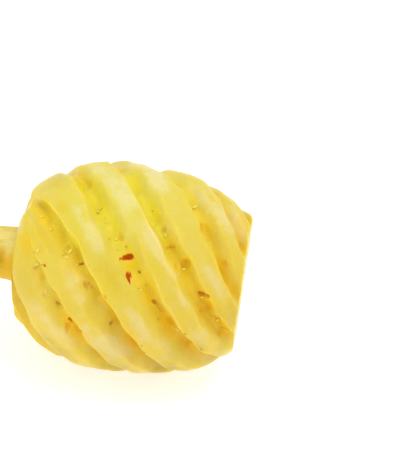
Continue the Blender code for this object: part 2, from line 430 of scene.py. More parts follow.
def furrow_cut(column, along):
    """Depth of a furrow as a share, from 1 on its floor to 0 on the ridge.

    Each wall climbs from the floor's edge over its own width, as 3 up^2 - 2 up^3, steepest halfway.
    Lean takes width from one wall and gives it to the other. The furrow is wider at each eye and
    narrower between two, so its edges are scalloped.
    """
    middle = np.round(column)
    beside = column - middle
    crownward = step(*LEAN_TURNS, along)
    lean = furrow_values(BASE_LEAN, column) * (1 - crownward)
    lean = lean + furrow_values(CROWN_LEAN, column) * crownward
    width = WALL_WIDTH - np.sign(beside) * LEAN_WIDTH * lean
    floor = FLOOR_WIDTH + at_stretches(BROADS, middle, along)
    scallops = 1 + SCALLOP * (eye_hollow(middle, along, SCALLOP_LENGTH) - 0.5)
    width = np.maximum(width * furrow_values(FURROW_WIDTH, column) * scallops, floor + SHORTEST_WALL)
    return 1 - step(0, 1, (np.abs(beside) - floor) / (width - floor))


print("a wall gives the other up to", round(LEAN_WIDTH * max(CROWN_LEAN), 2), "of a column's width")


# %% The flesh surface
SINES, MOST_TURNS, MOST_SWINGS = 5, 4, 9


def furrow_turn(u, cap):
    """Angle round the axis of furrow 0 at u, and at cap, which runs from 0 to 1 over the base cap."""
    first, second, third = FURROW_TURN
    along = first * u + second * u**2 + third * u**3
    return FURROW_ANGLE + along + CAP_TURN * (2 * cap - cap**2)


def waves(around, along, seed):
    """An uneven field of about -1 to 1: a sum of sines that close up round the fruit."""
    draw = np.random.default_rng(seed)
    total = 0
    for _ in range(SINES):
        turns, swings = draw.integers(1, MOST_TURNS + 1), draw.uniform(-MOST_SWINGS, MOST_SWINGS)
        total = total + np.sin(turns * around + swings * along + draw.uniform(0, 2 * math.pi))
    return total / math.sqrt(SINES)


def flesh_form(column, run):
    """Points of the flesh, at a column round it from 0 to FURROWS and a run along its outline.

    The outline is pushed in by the furrows and out by the swell and the lips, along its own normal;
    it is then turned round the axis by the furrows' turn, and crowded a little to one side.
    """
    length, line_x, line_radius = OUTLINE
    x = np.interp(run, length, line_x)
    radius = np.interp(run, length, line_radius)
    out_x = np.interp(run, length, np.gradient(line_radius, length))
    out_radius = -np.interp(run, length, np.gradient(line_x, length))
    out_x = out_x * np.clip((run - RIM) / LIP_REACH, 0, 1)
    out_radius = np.where(run < RIM, 1, out_radius)
    steep = np.hypot(out_x, out_radius)

    along = np.clip((SHOULDER - run) / (SHOULDER - RIM), 0, 1)
    cap = np.clip((run - SHOULDER) / (SEAT - SHOULDER), 0, 1)
    around = column * 2 * math.pi / FURROWS
    size = radius / BELLY_RADIUS * (1 - cap**3)
    cut = furrow_cut(column, along)
    uneven = 1 + UNEVEN_DEPTH * waves(around, along, SEED)
    depth = FURROW_DEPTH * cut * furrow_fill(column, along) * uneven
    hollow = EYE_DEPTH * eye_hollow(column, along)
    swell = UNEVEN_RADIUS * waves(around, along, SEED + 1)
    before = np.clip(SHOULDER - run, 0, None) / LIP_REACH
    beyond = np.clip(run - SHOULDER, 0, None) / LIP_DROP
    lip = RIDGE_LIP * (1 - cut) * np.exp(-(before**2) - beyond**2)
    out = size * (swell - depth - hollow) + lip

    swerve = furrow_values(FURROW_SWERVE, column) * np.exp(-((along / SWERVE_REACH) ** 2))
    swerve = swerve + at_stretches(BENDS, column, along)
    course = furrow_turn(np.clip(x / HALF_LENGTH, BASE_END, 1), cap)
    angle = around + swerve * 2 * math.pi / FURROWS + course
    angle = angle + UNEVEN_PATH / BELLY_RADIUS * waves(around, along, SEED + 2)
    angle = angle - CROWDING * np.sin(angle - CROWDED_SIDE)
    x = x + out * out_x / steep
    radius = radius + out * out_radius / steep
    y, z = -radius * np.cos(angle), radius * np.sin(angle)
    return np.stack([x + BELLY_X, y, z + AXIS_HEIGHT], axis=-1)


turned = math.degrees(furrow_turn(-1, 0) - furrow_turn(1, 0))
print("a furrow turns by", round(turned), "degrees from the crown to the base")


# %% [markdown]
# ## A fine grid over the flesh
#
# The solid makes do with a vertex every two to three millimetres, and many of the eyes' pits are no
# wider than that. So the grid here is laid much finer, and finest along the furrows, where the
# detail is. The columns follow the furrows, so that a furrow's bottom runs between the same two
# lines of vertices all the way and stays crisp.

# %% The flesh grid
FURROW_COLUMNS, BUNCHING = 39, 0.36
FLESH_ROWS = (26, 252, 20, 3)  # over the crown's face, the side, the base cap and the stalk's seat


def spaced(stops, counts):
    """A rising line of numbers: counts[0] even steps from the first stop to the second, and so on.

    Each stop belongs to the stretch that starts there, and the last stretch ends on its stop.
    """
    last = len(counts) - 1
    return np.concatenate([np.linspace(stops[k], stops[k + 1], count, endpoint=k == last)
                           for k, count in enumerate(counts)])


even = np.linspace(-1, 1, FURROW_COLUMNS, endpoint=False)
across_furrow = 0.5 * even * (1 - BUNCHING + BUNCHING * np.abs(even))
columns = (np.arange(FURROWS)[:, None] + across_furrow).ravel()
runs = spaced((0, RIM, SHOULDER, SEAT, OUTLINE[0][-1]), FLESH_ROWS)
RUN, COLUMN = np.meshgrid(runs, columns, indexing="ij")
flesh = flesh_form(COLUMN, RUN)
print("flesh grid", flesh.shape[0], "rows by", flesh.shape[1], "columns")

# %% Where each vertex lies
ALONG = np.clip((SHOULDER - RUN) / (SHOULDER - RIM), 0, 1)
CUT = furrow_cut(COLUMN, ALONG)
INNER_RIM, OUTER_RIM = RIM - 0.0010, RIM + 0.0015
OFF_CROWN = step(INNER_RIM, OUTER_RIM, RUN)
ON_SIDE = OFF_CROWN * (1 - step(SHOULDER, SEAT, RUN))
print("on the side:", round(float(ON_SIDE.mean()) * 100), "% of the vertices")

# %% [markdown]
# ## From a pixel of the photograph to the surface
#
# The camera stands where the photograph's camera stood, so each pixel of the photograph looks at one
# place on the fruit. What the photograph shows can then be laid on the surface at that place.

# %% Finding a pixel on the surface
FOCAL_PIXELS = CAMERA_LENS / SENSOR * FRAME_HEIGHT
PIXEL_REACH, PIXEL_SLACK = 1.2, 0.2


def in_photo(points):
    """Where points fall in the frame, in pixels from its top left corner, and how far away they are.

    A point is read along the camera's axes; right and up are then divided by the distance and
    multiplied by the focal length in pixels.
    """
    right, up, near = np.moveaxis((points - CAMERA_PLACE) @ CAMERA_AXES, -1, 0)
    x, y = FRAME_WIDTH / 2 - FOCAL_PIXELS * right / near, FRAME_HEIGHT / 2 + FOCAL_PIXELS * up / near
    return x, y, -near


def pixel_finder(grid):
    """A function that gives the row and column of the grid's vertex that shows at a pixel.

    All vertices are projected; of those that face the camera and fall near the pixel, it takes the
    one nearest to the camera.
    """
    x_seen, y_seen, far = in_photo(grid)
    facing = np.einsum("ijk,ijk->ij", outward(grid), CAMERA_PLACE - grid) > 0

    def at_pixel(x, y):
        off = np.hypot(x_seen - x, y_seen - y) + np.where(facing, 0, FRAME_WIDTH)
        close = off < max(PIXEL_REACH, off.min() + PIXEL_SLACK)
        return np.unravel_index(np.argmin(np.where(close, far, np.inf)), grid.shape[:2])

    return at_pixel


def from_pixel(grid, x, y, turn):
    """How far each vertex shows from a pixel, in metres, along a direction in the picture and across it.

    The direction is turn degrees anticlockwise from the picture's horizontal.
    """
    x_seen, y_seen, far = in_photo(grid)
    right, up = (x_seen - x) * far / FOCAL_PIXELS, (y - y_seen) * far / FOCAL_PIXELS
    turn = math.radians(turn)
    return right * math.cos(turn) + up * math.sin(turn), up * math.cos(turn) - right * math.sin(turn)


at_pixel = pixel_finder(flesh)
centre = flesh[at_pixel(FRAME_WIDTH // 2, FRAME_HEIGHT // 2)]
print("the centre of the frame shows the place", [mm(value) for value in centre], "mm")

# %% [markdown]
# ## The hollows of the eyes
#
# Each eye was cut out with the tip of the knife, which leaves a lens-shaped scoop in the floor. It
# deepens slowly, ends in a short steep step, and has a low saddle of flesh before the next one. The
# scoops are worked out one eye at a time, each only for the vertices around it.

# %% Scoops
SCOOP_LENGTH, SCOOP_WIDTH, SCOOP_DEPTH = 0.0080, 0.0048, 0.0006
# Along a scoop, from -1 to 1: where it deepens, where it ends and where it widens, and its width as
# a share at first and what it gains.
SCOOP_DEEPENS, SCOOP_ENDS, SCOOP_WIDENS = (-1.0, 0.55), (0.62, 0.98), (-1.0, 0.5)
SCOOP_NARROW, SCOOP_GAIN = 0.72, 0.28
# How single scoops differ: in size, in depth and in how far they lie beside the furrow's middle.
SCOOP_SIZES, SCOOP_DEPTHS, SCOOP_ASIDE = (0.75, 1.15), (0.6, 1.25), (-0.001, 0.001)
FIRST_EYE, LAST_EYE, ROWS_BESIDE = 0.08, 0.985, 4
FURROW_EYES = range(-1, EYES // FURROWS + 4)  # enough to pass both ends of every furrow
SCOOPED_CUT = (0.45, 0.85)
draw = np.random.default_rng(5)


def scoop_shape(along, across):
    """Depth of a scoop as a share, at along and across from -1 to 1.

    Along the furrow the depth is a smooth step up over the first three quarters and a short one down
    at the end. Across, it is 1 minus the square of the distance from the middle line, which widens
    towards the deep end.
    """
    rise = step(*SCOOP_DEEPENS, along) * (1 - step(*SCOOP_ENDS, along))
    width = SCOOP_NARROW + SCOOP_GAIN * step(*SCOOP_WIDENS, along)
    return rise * np.clip(1 - (across / width) ** 2, 0, 1)


def scoop_out(row, column, size, deep, aside):
    """Deepens the scoops by one more, round a vertex on a furrow's floor; size and deep are shares."""
    lengthwise = unit(flesh[max(row - ROWS_BESIDE, 1), column] - flesh[row + ROWS_BESIDE, column])
    crosswise = np.cross(normals[row, column], lengthwise)
    away = flesh - flesh[row, column]
    near = np.linalg.norm(away, axis=-1) < SCOOP_LENGTH
    along = 2 * (away[near] @ lengthwise) / (SCOOP_LENGTH * size)
    across = 2 * (away[near] @ crosswise - aside) / (SCOOP_WIDTH * size)
    scoop[near] = np.maximum(scoop[near], deep * scoop_shape(along, across))


normals = outward(flesh)
scoop = np.zeros(flesh.shape[:2])
eyes = []
for furrow in range(FURROWS):
    shares = [eye_along(furrow, index) for index in FURROW_EYES]
    for share in (share for share in shares if 0 < share < LAST_EYE):
        # The numbers are drawn for the eyes at the base too, though no scoop shows there.
        own = draw.uniform(*SCOOP_SIZES), draw.uniform(*SCOOP_DEPTHS), draw.uniform(*SCOOP_ASIDE)
        if share >= FIRST_EYE:
            row = int(np.argmin(np.abs(runs - SHOULDER + share * (SHOULDER - RIM))))
            column = int(np.argmin(np.abs(columns - furrow)))
            scoop_out(row, column, *own)
            eyes.append((row, column))
scoop *= ON_SIDE * step(*SCOOPED_CUT, CUT)
flesh = flesh - normals * (SCOOP_DEPTH * scoop)[..., None]
print(len(eyes), "eyes along", FURROWS, "furrows")

# %% [markdown]
# ## What the photograph shows of the eyes
#
# Some eyes left an open pit with a red-brown lining, others a slot, an orange pocket or nothing at
# all. Where the photograph shows such a mark, its pixel is traced back to the surface.

# %% The marks that the photograph shows
# Each row: x and y in the photograph; length and width in mm; turn in degrees anticlockwise from the
# photograph's horizontal; depth in mm; how red the lining is, from 0 for none to 1 for an open pit;
# and how much the mark narrows towards the end of its length. A pocket is deepest at its start.
MARKS = [
    (127.7, 257.0, 3.9, 2.2, 185, 1.2, 1.0, 0.10),
    (123.2, 258.6, 3.2, 1.1, 187, 0.9, 1.0, 0.70),
    (129.0, 275.6, 2.6, 2.6, 275, 1.2, 1.0, 0.35),
    (129.7, 280.4, 4.0, 1.5, 287, 1.1, 1.0, 0.85),
    (119.8, 236.0, 4.2, 2.8, 100, 1.1, 0.14, 0.3),
    (108.8, 222.6, 3.2, 1.0, -5, 0.6, 0.10, 0.3),
    (97.3, 213.1, 1.3, 0.7, -40, 0.5, 0.30, 0.2),
    (155.6, 302.6, 3.6, 1.3, -36, 1.1, 0.40, 0.6),
    (161.0, 308.0, 4.6, 2.4, -50, 0.8, 0.12, 0.2),
    (171.0, 320.5, 4.0, 2.2, -48, 0.7, 0.10, 0.2),
    (201.5, 349.5, 1.5, 0.8, -35, 0.7, 0.15, 0.3),
    (66.5, 248.6, 5.6, 3.0, 215, 1.2, 0.10, 0.5),
    (65.0, 254.4, 3.2, 0.7, 15, 0.6, 0.30, 0.5),
    (80.4, 263.6, 3.0, 1.3, 180, 1.0, 0.80, 0.8),
    (75.5, 264.7, 2.6, 0.5, 10, 0.5, 0.30, 0.5),
    (86.6, 285.0, 3.4, 3.0, -70, 1.1, 0.16, 0.5),
    (88.6, 284.0, 2.0, 1.1, 215, 0.9, 0.35, 0.7),
    (105.0, 298.0, 3.0, 1.2, -60, 0.8, 0.15, 0.3),
    (112.0, 322.3, 2.8, 1.2, 55, 1.0, 0.45, 0.3),
    (42.6, 265.2, 2.2, 1.1, 170, 0.9, 0.70, 0.5),
    (36.5, 267.3, 2.8, 0.7, 12, 0.5, 0.40, 0.5),
    (34.0, 252.5, 1.2, 0.5, -30, 0.4, 0.30, 0.3),
    (45.5, 295.6, 3.6, 1.4, -8, 0.8, 0.10, 0.4),
    (58.5, 303.0, 2.4, 1.4, -25, 0.9, 0.25, 0.5),
    (70.8, 320.6, 2.4, 1.3, -45, 1.1, 0.50, 0.4),
    (68.0, 327.5, 5.6, 3.4, 265, 1.2, 0.17, 0.4),
    (80.6, 331.9, 1.3, 0.7, -35, 0.7, 0.45, 0.3),
    (164.0, 229.4, 3.6, 2.8, 60, 1.1, 0.10, 0.3),
    (172.5, 247.3, 4.6, 1.0, 5, 0.9, 0.25, 0.5),
    (185.6, 265.0, 4.6, 4.6, -75, 1.2, 0.20, 0.4),
    (176.8, 264.0, 3.6, 1.4, 85, 0.7, 0.08, 0.3),
    (204.4, 295.2, 6.0, 1.4, -24, 1.2, 0.55, 0.6),
    (210.0, 306.0, 6.0, 3.4, -45, 0.6, 0.04, 0.2),
    (218.5, 321.0, 3.8, 2.8, -60, 0.9, 0.12, 0.3),
    (205.6, 231.0, 7.0, 4.4, -55, 0.9, 0.08, 0.3),
    (223.6, 265.4, 4.0, 4.4, -80, 0.9, 0.10, 0.3),
]

# %% [markdown]
# ## From a mark to a pit
#
# Each mark becomes an ellipse on the surface with a wavering edge. Inside it the vertices sink, and
# two masks remember where the lining is red-brown and where the flesh around it is tinged orange,
# partly the flesh's own colour and partly painted shade at the mark's deep end.
# The sides that the photograph does not show get marks of the same kinds, drawn by chance.

# %% Cutting one mark
MARK_WAVER, MARK_LUMPS, MARK_POWER, POCKET_TILT = 0.26, 0.0009, 2.6, 0.40
# How far out the climb to the edge starts, from 0 in the middle to 1: in a pocket, and how much
# further out in a pit. A mark counts as a pit as far as PIT_RED times its red reaches 1. Last comes
# where the climb ends.
POCKET_FLAT, PIT_GAIN, PIT_RED, MARK_END = 0.1, 0.55, 3, 1.05
LINING_EDGE = (0.9, 1.1)
# The orange tinge, partly painted shade at a pocket's deep end: its share of the red, its start and its
# most, then where it fades along the mark and towards its edge.
TINGE_SHARE, TINGE_START, TINGE_MOST = 3.5, 0.05, 0.85
TINGE_ALONG, TINGE_EDGE = (-0.9, 0.5), (0.35, 1.25)
HALF_MMS = 2000  # half millimetres in a metre, because sizes are whole and distances from the middle
pit, amber, mark_sink = (np.zeros(flesh.shape[:2]) for _ in range(3))
normals = outward(flesh)
edge_noise = lumps(flesh, MARK_LUMPS, 21)


def cut_mark(near, along, across, length, width, depth, red, taper):
    """Sinks one mark, of sizes in mm, into the surface and adds it to the masks.

    along and across say how far the vertices lie from its middle, in metres; only those in near are
    changed. The distance is 1 on the mark's edge, a squarish ellipse that tapers along its length.
    The depth falls by a smooth step inside the edge, and a pocket's floor also tilts. The lining's
    mask ends at the edge; the orange tinge, partly painted shade, is strongest at the deep end and
    fades along the mark.
    """
    along = HALF_MMS * along[near] / length
    across = HALF_MMS * across[near] / (width * (1 - taper * (0.5 + 0.5 * np.clip(along, -1, 1))))
    off = (np.abs(along) ** MARK_POWER + np.abs(across) ** MARK_POWER) ** (1 / MARK_POWER)
    off = off * (1 + MARK_WAVER * edge_noise[near])
    tilt = 1 - POCKET_TILT * (1 - red) * (1 + np.clip(along, -1, 1))
    flat = POCKET_FLAT + PIT_GAIN * min(PIT_RED * red, 1)
    sunk = depth / 1000 * tilt * (1 - step(flat, MARK_END, off))
    mark_sink[near] = np.maximum(mark_sink[near], sunk)
    pit[near] = np.maximum(pit[near], red * (1 - step(*LINING_EDGE, off)))
    tinge = (1 - step(*TINGE_ALONG, along)) * (1 - step(*TINGE_EDGE, off))
    amber[near] = np.maximum(amber[near], min(TINGE_SHARE * red + TINGE_START, TINGE_MOST) * tinge)


# Only the vertices this near are changed: metres for each mm of the mark's size, and more metres.
MARK_REACH, MARK_MARGIN = 0.0009, 0.001

at_pixel = pixel_finder(flesh)
for x, y, length, width, turn, depth, red, taper in MARKS:
    away = np.linalg.norm(flesh - flesh[at_pixel(x, y)], axis=-1)
    near = away < MARK_REACH * max(length, width) + MARK_MARGIN
    cut_mark(near, *from_pixel(flesh, x, y, turn), length, width, depth, red, taper)
print("the deepest mark is", mm(mark_sink.max()), "mm deep")

# %% Marks on the other sides
# How often a hidden eye has a mark; how many rows and columns the mark lies from the eye; and its
# length and width in mm, its depth as a share of its width, how red it may be and how much it tapers.
HIDDEN_CHANCE, HIDDEN_ROWS, HIDDEN_COLUMNS = 0.7, (-4, 10), (-4, 5)
HIDDEN_LENGTHS, HIDDEN_WIDTHS, HIDDEN_DEPTHS = (1.6, 5.2), (0.8, 2.8), (0.4, 0.8)
HIDDEN_REDS, HIDDEN_TAPERS = [0.08, 0.1, 0.12, 0.4, 0.6, 0.9], (0.2, 0.7)
# How many rows marks keep from the fruit's two ends. An eye counts as seen when the cosine between
# its normal and the camera is above EDGE_ON, and can get a mark when it is below -EDGE_ON. A mark
# changes only the vertices this near to it, across and along the surface, in metres for each mm of
# its size.
EDGE_ROWS, EDGE_ON, HIDDEN_ABOVE, HIDDEN_REACH = 45, 0.15, 0.0007, 0.001


def photo_frame(row, column, turn):
    """Three directions at a vertex: along the surface, turn degrees anticlockwise from the
    photograph's horizontal; along the surface at right angles to that; and out of it."""
    normal = normals[row, column]
    right = unit(PHOTO_RIGHT - normal * (PHOTO_RIGHT @ normal))
    up, turn = np.cross(normal, right), math.radians(turn)
    return np.stack([math.cos(turn) * right + math.sin(turn) * up,
                     math.cos(turn) * up - math.sin(turn) * right, normal])


def beside_eye(row, column, down, across):
    """The vertex so many rows and columns from an eye, kept away from the fruit's two ends."""
    row = int(np.clip(row + down, EDGE_ROWS, len(runs) - EDGE_ROWS))
    return row, (column + int(across)) % len(columns)


hidden_eyes = []
for row, column in eyes:
    facing = normals[row, column] @ unit(CAMERA_PLACE - flesh[row, column])
    if facing > EDGE_ON:
        continue
    hidden_eyes.append((row, column))
    if draw.random() < HIDDEN_CHANCE and facing < -EDGE_ON:
        place = beside_eye(row, column, -draw.integers(*HIDDEN_ROWS), draw.integers(*HIDDEN_COLUMNS))
        frame_here = photo_frame(*place, draw.uniform(0, 360))
        length, width = draw.uniform(*HIDDEN_LENGTHS), draw.uniform(*HIDDEN_WIDTHS)
        along, across, above = np.moveaxis((flesh - flesh[place]) @ frame_here.T, -1, 0)
        near = np.abs(above) < HIDDEN_ABOVE * max(length, width)
        near &= np.hypot(along, across) < HIDDEN_REACH * max(length, width)
        cut_mark(near, along, across, length, width, draw.uniform(*HIDDEN_DEPTHS) * width,
                 draw.choice(HIDDEN_REDS), draw.uniform(*HIDDEN_TAPERS))
flesh = flesh - normals * (mark_sink * ON_SIDE)[..., None]
print(len(MARKS), "marks from the photograph,", len(hidden_eyes), "eyes on the other sides")

# %% [markdown]
# ## The knife's unevenness and the cut crown
#
# The ridges are pared by hand, so their tops waver a little and carry flat strokes. Lumps of several
# sizes do that, some of them stretched along the ridge. All push inwards only, because the fruit
# must stay within the size of its solid. The crown end is one flat cut. There the core stands out as
# a paler disc, and fibres run out from it to the rim.

# %% Relief
# Each kind of unevenness: the size of its lumps; how they are squeezed along the furrows, where 1 is
# not at all and below 1 draws them out; its height; and its seed. LEFT_PROUD is taken off their sum,
# so that the highest places keep the full height of the form.
WAVER = ((0.0130, 1.0, 0.00030, 31), (0.0070, 0.45, 0.00030, 34), (0.0045, 1.0, 0.00015, 32),
         (0.0021, 1.0, 0.00005, 33))
LEFT_PROUD = 0.00055


def grain_space(angle, radius, run):
    """Positions in which the grain is straight: a cylinder's x and y, and the run along the piece."""
    return np.stack([radius * np.cos(angle), radius * np.sin(angle), run], axis=-1)


def streaks(grain, squeeze, size, seed):
    """Lumps that are drawn out along the grain, to 1 / squeeze times their size."""
    return lumps(grain * np.array([1, 1, squeeze]), size, seed)


normals = outward(flesh)
GRAIN = grain_space(COLUMN * 2 * math.pi / FURROWS, BELLY_RADIUS, RUN)
relief = np.zeros(flesh.shape[:2])
for size, squeeze, height, seed in WAVER:
    noise = lumps(flesh, size, seed) if squeeze == 1 else streaks(GRAIN, squeeze, size, seed)
    relief += height * (1 + noise)
relief = np.maximum(relief - LEFT_PROUD, 0)
print("the ridges waver by up to", mm(relief.max()), "mm")

# %% The crown's cut
CROWN_RELIEF, CROWN_EDGE, RAY_SQUEEZE, RAY_WIDTH = 0.00022, (RIM - 0.0022, RIM - 0.0004), 0.12, 0.0016
CORE_RADIUS, CORE_EDGE, CORE_WAVER, CORE_LUMPS, CORE_SMOOTH = 0.0098, 0.0008, 0.0012, 0.006, 0.6

on_crown = 1 - step(*CROWN_EDGE, RUN)
rays = streaks(GRAIN, RAY_SQUEEZE, RAY_WIDTH, 41)
from_core = RUN + CORE_WAVER * lumps(GRAIN, CORE_LUMPS, 42)
core = 1 - step(CORE_RADIUS - CORE_EDGE, CORE_RADIUS + CORE_EDGE, from_core)
relief = relief * (1 - on_crown) + on_crown * CROWN_RELIEF * (1 + rays) * (1 - CORE_SMOOTH * core)
flesh = flesh - normals * relief[..., None]
# The ridges that the fruit rests on are pressed flat against the floor, as in the solid.
flesh[..., 2] = np.maximum(flesh[..., 2], 0)
print("the core shows", mm(2 * CORE_RADIUS), "mm wide in the crown's cut")

# %% [markdown]
# ## Cream and golden patches
#
# The flesh is not one yellow. Pale cream patches lie along the ridges, partly the flesh's own colour
# and partly painted sheen on their tops, and gold lies in the furrows, partly the flesh's own colour
# and partly painted shade. Some places are made lighter with painted light, others darker with
# painted shade. All of it is deeper in colour the further it is from a place near the top, partly
# the flesh's own tone and partly painted light on the top. On the sides that the photograph
# shows, the main patches lie where they do there. Elsewhere noise lays them out that is stretched
# along the furrows. Each kind is one number for each vertex, and the material turns it into colour.

# %% Patches that the photograph shows
# Each row: x and y in the photograph; length and width in mm; turn in degrees; and how pale the
# patch is, where below 0 is golden. The pale patches on the ridges' tops are partly painted sheen,
# and the golden ones partly painted shade.
PATCHES = [
    (104, 172, 13, 6, -40, 0.9), (122, 198, 15, 6, -62, 1.1), (155, 176, 12, 6, -55, 1.1),
    (92, 238, 16, 6, -62, 0.8), (150, 240, 14, 6, -60, 0.5), (172, 268, 15, 4, -55, 0.9),
    (213, 278, 16, 5, -58, 0.8), (72, 287, 15, 5, -65, 0.7), (40, 313, 12, 5, -45, 0.5),
    (108, 346, 20, 9, -30, 1.1), (140, 322, 14, 5, -50, 0.6), (202, 335, 10, 6, -50, 0.6),
    (62, 335, 16, 7, -45, 0.9), (165, 345, 16, 6, -45, 0.5), (185, 300, 12, 4, -55, 0.5),
    (228, 219, 13, 7, -50, 1.3), (78, 212, 10, 5, -60, 0.7), (200, 195, 16, 6, -50, 0.7),
    (58, 178, 12, 7, 30, -0.50), (171, 232, 8, 4, -60, 0.6), (184, 303, 10, 4, -55, 0.5),
    (80, 275, 12, 4, -60, 0.4), (240, 240, 10, 3, -80, 0.6), (99, 330, 10, 5, -50, 0.3),
    (92, 190, 10, 6, -60, -0.8), (137, 184, 8, 4, -70, -0.6), (27, 240, 14, 7, -70, -0.6),
    (46, 209, 8, 5, -50, -0.9), (110, 278, 16, 9, -60, -1.0), (212, 240, 10, 5, -70, -0.2),
    (62, 207, 7, 4, -60, -0.9), (45, 240, 16, 5, -55, -0.7), (78, 245, 8, 4, -60, -0.5),
    (152, 270, 12, 6, -60, -0.8), (150, 325, 8, 5, -50, -0.4), (216, 305, 8, 4, -60, -0.5),
    (118, 338, 8, 4, -50, -0.4), (45, 186, 8, 6, 40, -0.6), (130, 166, 6, 4, 0, 0.8),
    (241, 243, 5, 4, -80, 0.9), (78, 308, 8, 4, -60, 0.5), (22, 275, 18, 7, -75, -0.4),
]
# Each place of painted light, where the flesh is made lighter, in the same way, with by how much;
# below 0 it is painted shade and darker.
PAINTED_LIGHT_AND_SHADE = [
    (92, 291, 14, 6, -58, 0.14), (80, 271, 8, 5, -60, 0.14), (190, 281, 12, 5, -60, 0.12),
    (149, 299, 7, 5, -55, 0.12), (168, 323, 7, 5, -50, 0.10), (160, 219, 8, 4, -62, 0.12),
    (203, 309, 5, 4, -50, 0.10), (193, 197, 7, 4, -60, 0.10), (105, 314, 8, 5, -55, 0.12),
    (122, 249, 6, 5, 0, -0.08), (207, 221, 10, 6, -62, 0.08), (172, 243, 7, 5, -62, 0.12),
    (46, 222, 7, 5, -60, 0.12), (130, 343, 6, 4, -45, 0.08), (169, 336, 6, 4, -45, 0.08),
    (77, 169, 6, 4, 30, 0.08), (236, 304, 5, 6, -80, -0.08), (214, 312, 7, 4, -55, -0.10),
    (222, 259, 10, 5, -65, 0.10), (230, 281, 8, 5, -70, 0.10), (43, 205, 6, 4, -45, -0.20),
    (231, 318, 6, 8, -60, -0.12), (110, 356, 26, 8, -12, -0.10), (165, 360, 16, 6, 10, -0.10),
    (22, 285, 22, 8, -80, -0.07), (167, 369, 14, 4, 3, -0.30), (59, 352, 14, 4, -35, -0.30),
    (199, 347, 7, 4, -35, -0.12), (221, 352, 6, 5, -50, -0.15), (46, 337, 7, 4, -45, -0.08),
    (113, 367, 16, 4, -5, -0.18), (213, 358, 8, 4, 30, -0.15), (58, 176, 14, 8, 30, -0.10),
    (112, 268, 18, 9, -60, -0.05),
]
# Each golden spot, in the same way, with how golden it is; below 0 it takes gold away. The golden
# spots in the furrows are partly painted shade.
GOLD_AND_SHADE_SPOTS = [
    (84, 186, 14, 9, -60, 0.5), (102, 212, 10, 7, -60, 0.35), (136, 183, 9, 5, -65, 0.4),
    (155, 208, 9, 6, -60, 0.3), (186, 262, 7, 6, -60, 0.35), (195, 285, 9, 6, -55, 0.3),
    (214, 303, 9, 7, -50, 0.5), (226, 319, 8, 7, -50, 0.40), (208, 236, 14, 7, -65, 0.12),
    (225, 268, 8, 7, -70, 0.05), (41, 208, 11, 8, -50, 0.65), (56, 235, 14, 9, -55, 0.2),
    (112, 268, 20, 9, -60, 0.30), (138, 272, 12, 8, -60, 0.2), (44, 292, 7, 4, -30, 0.15),
    (68, 322, 7, 4, -50, 0.2), (20, 310, 12, 3, -65, 0.3), (24, 245, 12, 5, -75, 0.3),
    (68, 327, 9, 5, -60, 0.45), (86, 334, 8, 5, -50, 0.35), (105, 299, 7, 5, -60, 0.50),
    (131, 334, 9, 5, -50, 0.40), (43, 250, 9, 4, -70, 0.20), (177, 233, 6, 4, -65, 0.35),
    (164, 258, 12, 5, -62, 0.35), (173, 271, 5, 4, -60, 0.30), (215, 274, 8, 5, -60, 0.35),
    (126, 247, 6, 4, 0, 0.30), (117, 256, 6, 4, 0, 0.25), (211, 206, 6, 4, -60, 0.30),
    (64, 266, 7, 5, -60, 0.30), (197, 345, 8, 4, -40, 0.30), (100, 302, 24, 6, -58, -0.55),
    (50, 290, 18, 5, -65, -0.25), (33, 325, 8, 3, -50, 0.4), (36, 244, 6, 4, -65, 0.3),
    (125, 337, 12, 5, -45, -0.25), (188, 280, 12, 5, -60, -0.20), (158, 318, 8, 5, -50, 0.2),
    (241, 222, 5, 3, -70, 0.5),
]
print(len(PATCHES), "patches,", len(PAINTED_LIGHT_AND_SHADE), "dried or wet places and", len(GOLD_AND_SHADE_SPOTS), "glows")

# %% Laying out the patches
# Between which distances from its middle a place fades out, where 1 is the edge of its size; how
# ragged that edge is; and how far off the surface takes less of it and then none, because it only
# lies behind it in the photograph, in metres for each mm of its length.
PLACE_EDGE, PLACE_RAGGED, PLACE_BEHIND = (-0.2, 1.8), 0.35, (0.0008, 0.0014)
RAGGED_LUMPS, RAGGED_FINE, RAGGED_FINE_SHARE = 0.0035, 0.0016, 0.6
CHANCE_SQUEEZE, CHANCE_LUMPS, CHANCE_FINE, CHANCE_FINE_SHARE = 0.5, 0.0085, 0.004, 0.4
SEEN_EDGE, TINT_START, SEEN_CALM = (-0.1, 0.4), 0.05, 0.65
# Where, in the photograph, the palest place near the top lies; over which reach in metres from it the
# colour deepens, partly the flesh's own tone and partly painted light on the top; and how much the noise
# unsettles that.
LIT_TOP_AT, LIT_TOP_REACH, LIT_TOP_UNEVEN = (120, 195), (0.010, 0.062), 0.12

at_pixel = pixel_finder(flesh)
normals = outward(flesh)
seen = step(*SEEN_EDGE, np.einsum("ijk,ijk->ij", normals, unit(CAMERA_PLACE - flesh)))
ragged = lumps(flesh, RAGGED_LUMPS, 71) + RAGGED_FINE_SHARE * lumps(flesh, RAGGED_FINE, 74)
chance = streaks(GRAIN, CHANCE_SQUEEZE, CHANCE_LUMPS, 72)
chance = chance + CHANCE_FINE_SHARE * lumps(flesh, CHANCE_FINE, 73)


def in_places(rows_of_places):
    """The sum of the last values of all places in the photograph, each fading out from its middle."""
    total = np.zeros(flesh.shape[:2])
    for x, y, length, width, turn, value in rows_of_places:
        along, across = from_pixel(flesh, x, y, turn)
        behind = np.linalg.norm(flesh - flesh[at_pixel(x, y)], axis=-1) / length
        off = np.hypot(along / length, across / width) * HALF_MMS
        off = np.hypot(off, step(*PLACE_BEHIND, behind) * 2)
        total = total + value * (1 - step(*PLACE_EDGE, off + PLACE_RAGGED * ragged))
    return total


tint = chance * (1.0 - SEEN_CALM * seen)
tint = tint + in_places(PATCHES) + TINT_START
# Painted light and shade, one number for each vertex.
painted_light_and_shade = in_places(PAINTED_LIGHT_AND_SHADE)
